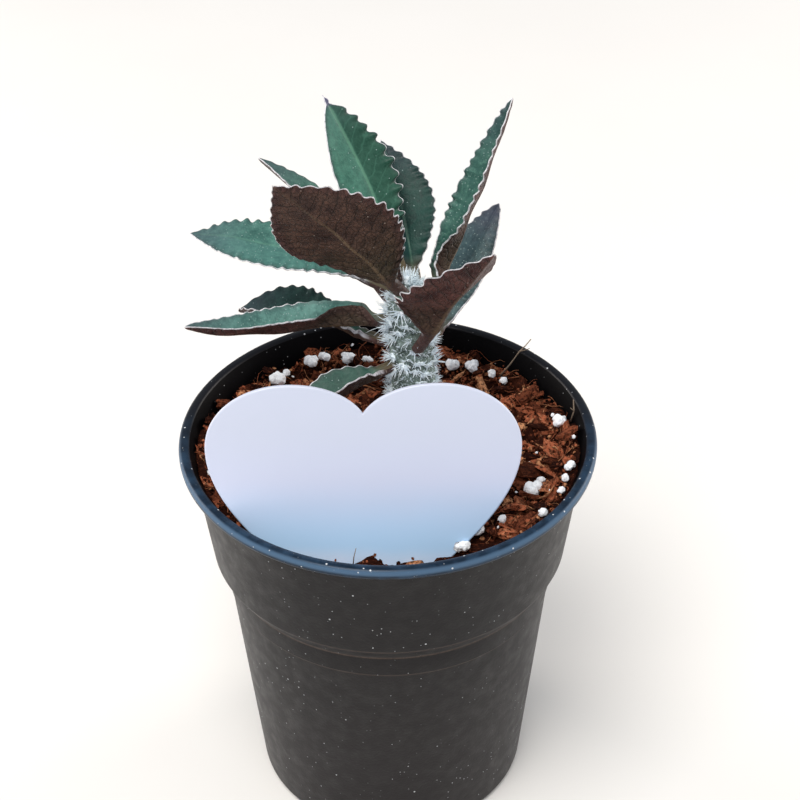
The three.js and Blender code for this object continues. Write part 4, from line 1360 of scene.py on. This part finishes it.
def make_flakes():
    """Brown flakes that lie in front of the label's foot."""
    rng = np.random.default_rng(SOIL["seed"] + 4)
    unit, faces = ball(3)
    heap = Heap()
    tilt = Matrix.Rotation(FLAKE_SHAPE["tilt"], 3, "X")
    for x, y, length, width, heading in FLAKES:
        shape = lump(unit, (length, width, FLAKE_SHAPE["thickness"]), rng, FLAKE_SHAPE["rough"])
        about = np.array(Matrix.Rotation(math.radians(heading), 3, "Z") @ tilt)
        points = shape @ about.T + (x, y, soil_height(x, y) + FLAKE_SHAPE["proud"])
        grain = shape + rng.uniform(0, 60, 3)
        heap.add(clear_of_neighbours(points), faces, FLAKE_SHAPE["tone"], grain)
    return heap.build("compost_flakes", chip_material())


def make_perlite():
    """White grains, each of a few merged rounded lobes, and bits of them."""
    rng = np.random.default_rng(SOIL["seed"] + 1)
    unit, faces = ball(3)
    small, small_faces = ball(2)
    heap = Heap()
    for x, y, width in PERLITE:
        centre = np.array([x, y, float(soil_height(x, y)) + 0.5 * width])
        about = rng.uniform(0, 2 * math.pi)
        lobes = 1 + (width > 2) + (width > 2.5)
        off = 0.0 if lobes == 1 else PERLITE_LOBES["off"] * width
        sizes = PERLITE_LOBES["single" if lobes == 1 else "merged"]
        for i in range(lobes):
            angle = about + i * PERLITE_LOBES["turn"]
            shape = lump(unit, width * rng.uniform(*sizes, 3), rng, PERLITE_LOBES["rough"])
            points = shape @ turn(rng, PERLITE_TILT).T
            points += centre + off * np.array([math.cos(angle), math.sin(angle), rng.uniform(-0.4, 0.6)])
            heap.add(clear_of_neighbours(points), faces, 1.0)
    for _ in range(PERLITE_BITS["count"]):
        x, y = soil_place(rng)
        if in_front_of_label(y):
            continue
        shape = lump(small, rng.uniform(*PERLITE_BITS["size"], 3), rng, PERLITE_BITS["rough"])
        points = shape @ turn(rng, PERLITE_TILT).T
        points += (x, y, soil_height(x, y) + PERLITE_BITS["proud"])
        heap.add(clear_of_neighbours(points), small_faces, 1.0)
    return heap.build("perlite_grains", perlite_material())


def make_label():
    """A plate with rounded edges: shrinking copies of the outline over each face."""
    outline = heart_outline()
    ahead = np.roll(outline, -1, axis=0) - np.roll(outline, 1, axis=0)
    inward = np.stack([-ahead[:, 1], ahead[:, 0]], -1)
    inward /= np.linalg.norm(inward, axis=1, keepdims=True)
    radius, thickness = LABEL["round"], LABEL["thickness"]
    bend = np.radians([90, 67.5, 45, 22.5, 0])
    front = [(radius * (1 - math.cos(a)), -radius * (1 - math.sin(a))) for a in bend]
    back = [(inset, -thickness - depth) for inset, depth in front[::-1]]
    foot, upward, forward = label_axes()
    sideways = np.array([1.0, 0, 0])
    layers = []
    for inset, depth in front + back:
        flat = outline + inward * inset
        layers.append(foot + flat[:, :1] * sideways + flat[:, 1:] * upward + depth * forward)
    faces = capped_rings(len(layers), len(outline), reverse=True)
    label = new_object("heart_label", np.vstack(layers), faces, label_material())
    label.data.set_sharp_from_angle(angle=math.radians(LABEL["sharp_angle"]))
    return label


# Stage


def make_floor():
    bpy.ops.mesh.primitive_plane_add(size=FLOOR_SIZE)
    floor = bpy.context.object
    floor.name = "floor"
    floor.data.materials.append(floor_material())


def make_lights():
    """A pale sky and soft lights."""
    world = bpy.data.worlds.new("daylight")
    bpy.context.scene.world = world
    world.use_nodes = True
    sky = world.node_tree.nodes["Background"]
    sky.inputs["Color"].default_value = SKY["colour"]
    sky.inputs["Strength"].default_value = SKY["strength"]
    for name, place, size, power, colour in LIGHTS:
        data = bpy.data.lights.new(name, "AREA")
        data.shape = "DISK"
        data.size = size
        data.energy = power
        data.color = colour
        light = add_object(name, data)
        light.location = place
        ahead = Vector(LIT_PLACE) - Vector(place)
        light.rotation_euler = ahead.to_track_quat("-Z", "Y").to_euler()


def make_camera():
    """The photograph's camera."""
    data = bpy.data.cameras.new("camera")
    data.lens = CAMERA_LENS
    data.sensor_width = CAMERA_SENSOR
    data.clip_start = 0.01
    camera = add_object("camera", data)
    back = -Vector(CAMERA_FORWARD).normalized()
    right = Vector(CAMERA_UP).cross(back).normalized()
    axes = Matrix((right, back.cross(right), back)).transposed()
    camera.matrix_world = Matrix.Translation(Vector(CAMERA_PLACE) * MM) @ axes.to_4x4()
    bpy.context.scene.camera = camera
    bpy.context.scene.view_settings.view_transform = "Standard"


# The whole part

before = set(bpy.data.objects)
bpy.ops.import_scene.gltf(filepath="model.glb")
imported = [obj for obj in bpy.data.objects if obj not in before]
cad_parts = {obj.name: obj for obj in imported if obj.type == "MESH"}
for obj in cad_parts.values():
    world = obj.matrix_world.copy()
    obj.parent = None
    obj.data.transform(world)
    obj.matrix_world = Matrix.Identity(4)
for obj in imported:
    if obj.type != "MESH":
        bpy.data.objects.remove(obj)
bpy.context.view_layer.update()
make_floor()
make_lights()
make_camera()

leaves = {name: {**LEAF_COMMON, **shape} for name, shape in LEAVES.items()}
sheets = {name: leaf_sheets(name, leaf) for name, leaf in leaves.items()}
near_points = np.vstack([s["middle"][::3, ::3].reshape(-1, 3) for s in sheets.values()])
leaf_tree = kdtree.KDTree(len(near_points))
for number, point in enumerate(near_points):
    leaf_tree.insert(Vector(point), number)
leaf_tree.balance()

seats = tuft_seats()
pieces = [
    (make_pot(), "pot", "pot"),
    (make_soil_body(), "soil", "soil"),
    (make_chips(), "soil", "soil"),
    (make_crumbs(), "soil", "soil"),
    (make_fibres(), "soil", "soil"),
    (make_twigs(), "soil", "soil"),
    (make_flakes(), "soil", "soil"),
    (make_perlite(), "soil", "soil"),
    (make_stem(seats), "stem", "stem"),
    (make_bristles(seats, leaf_tree), "stem", "stem"),
    (make_label(), "label", "label"),
]
pieces += [(make_leaf(name, leaf, sheets[name]), name, "leaf") for name, leaf in leaves.items()]
for piece, node, slot in pieces:
    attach(piece, "root")
    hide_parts(node)
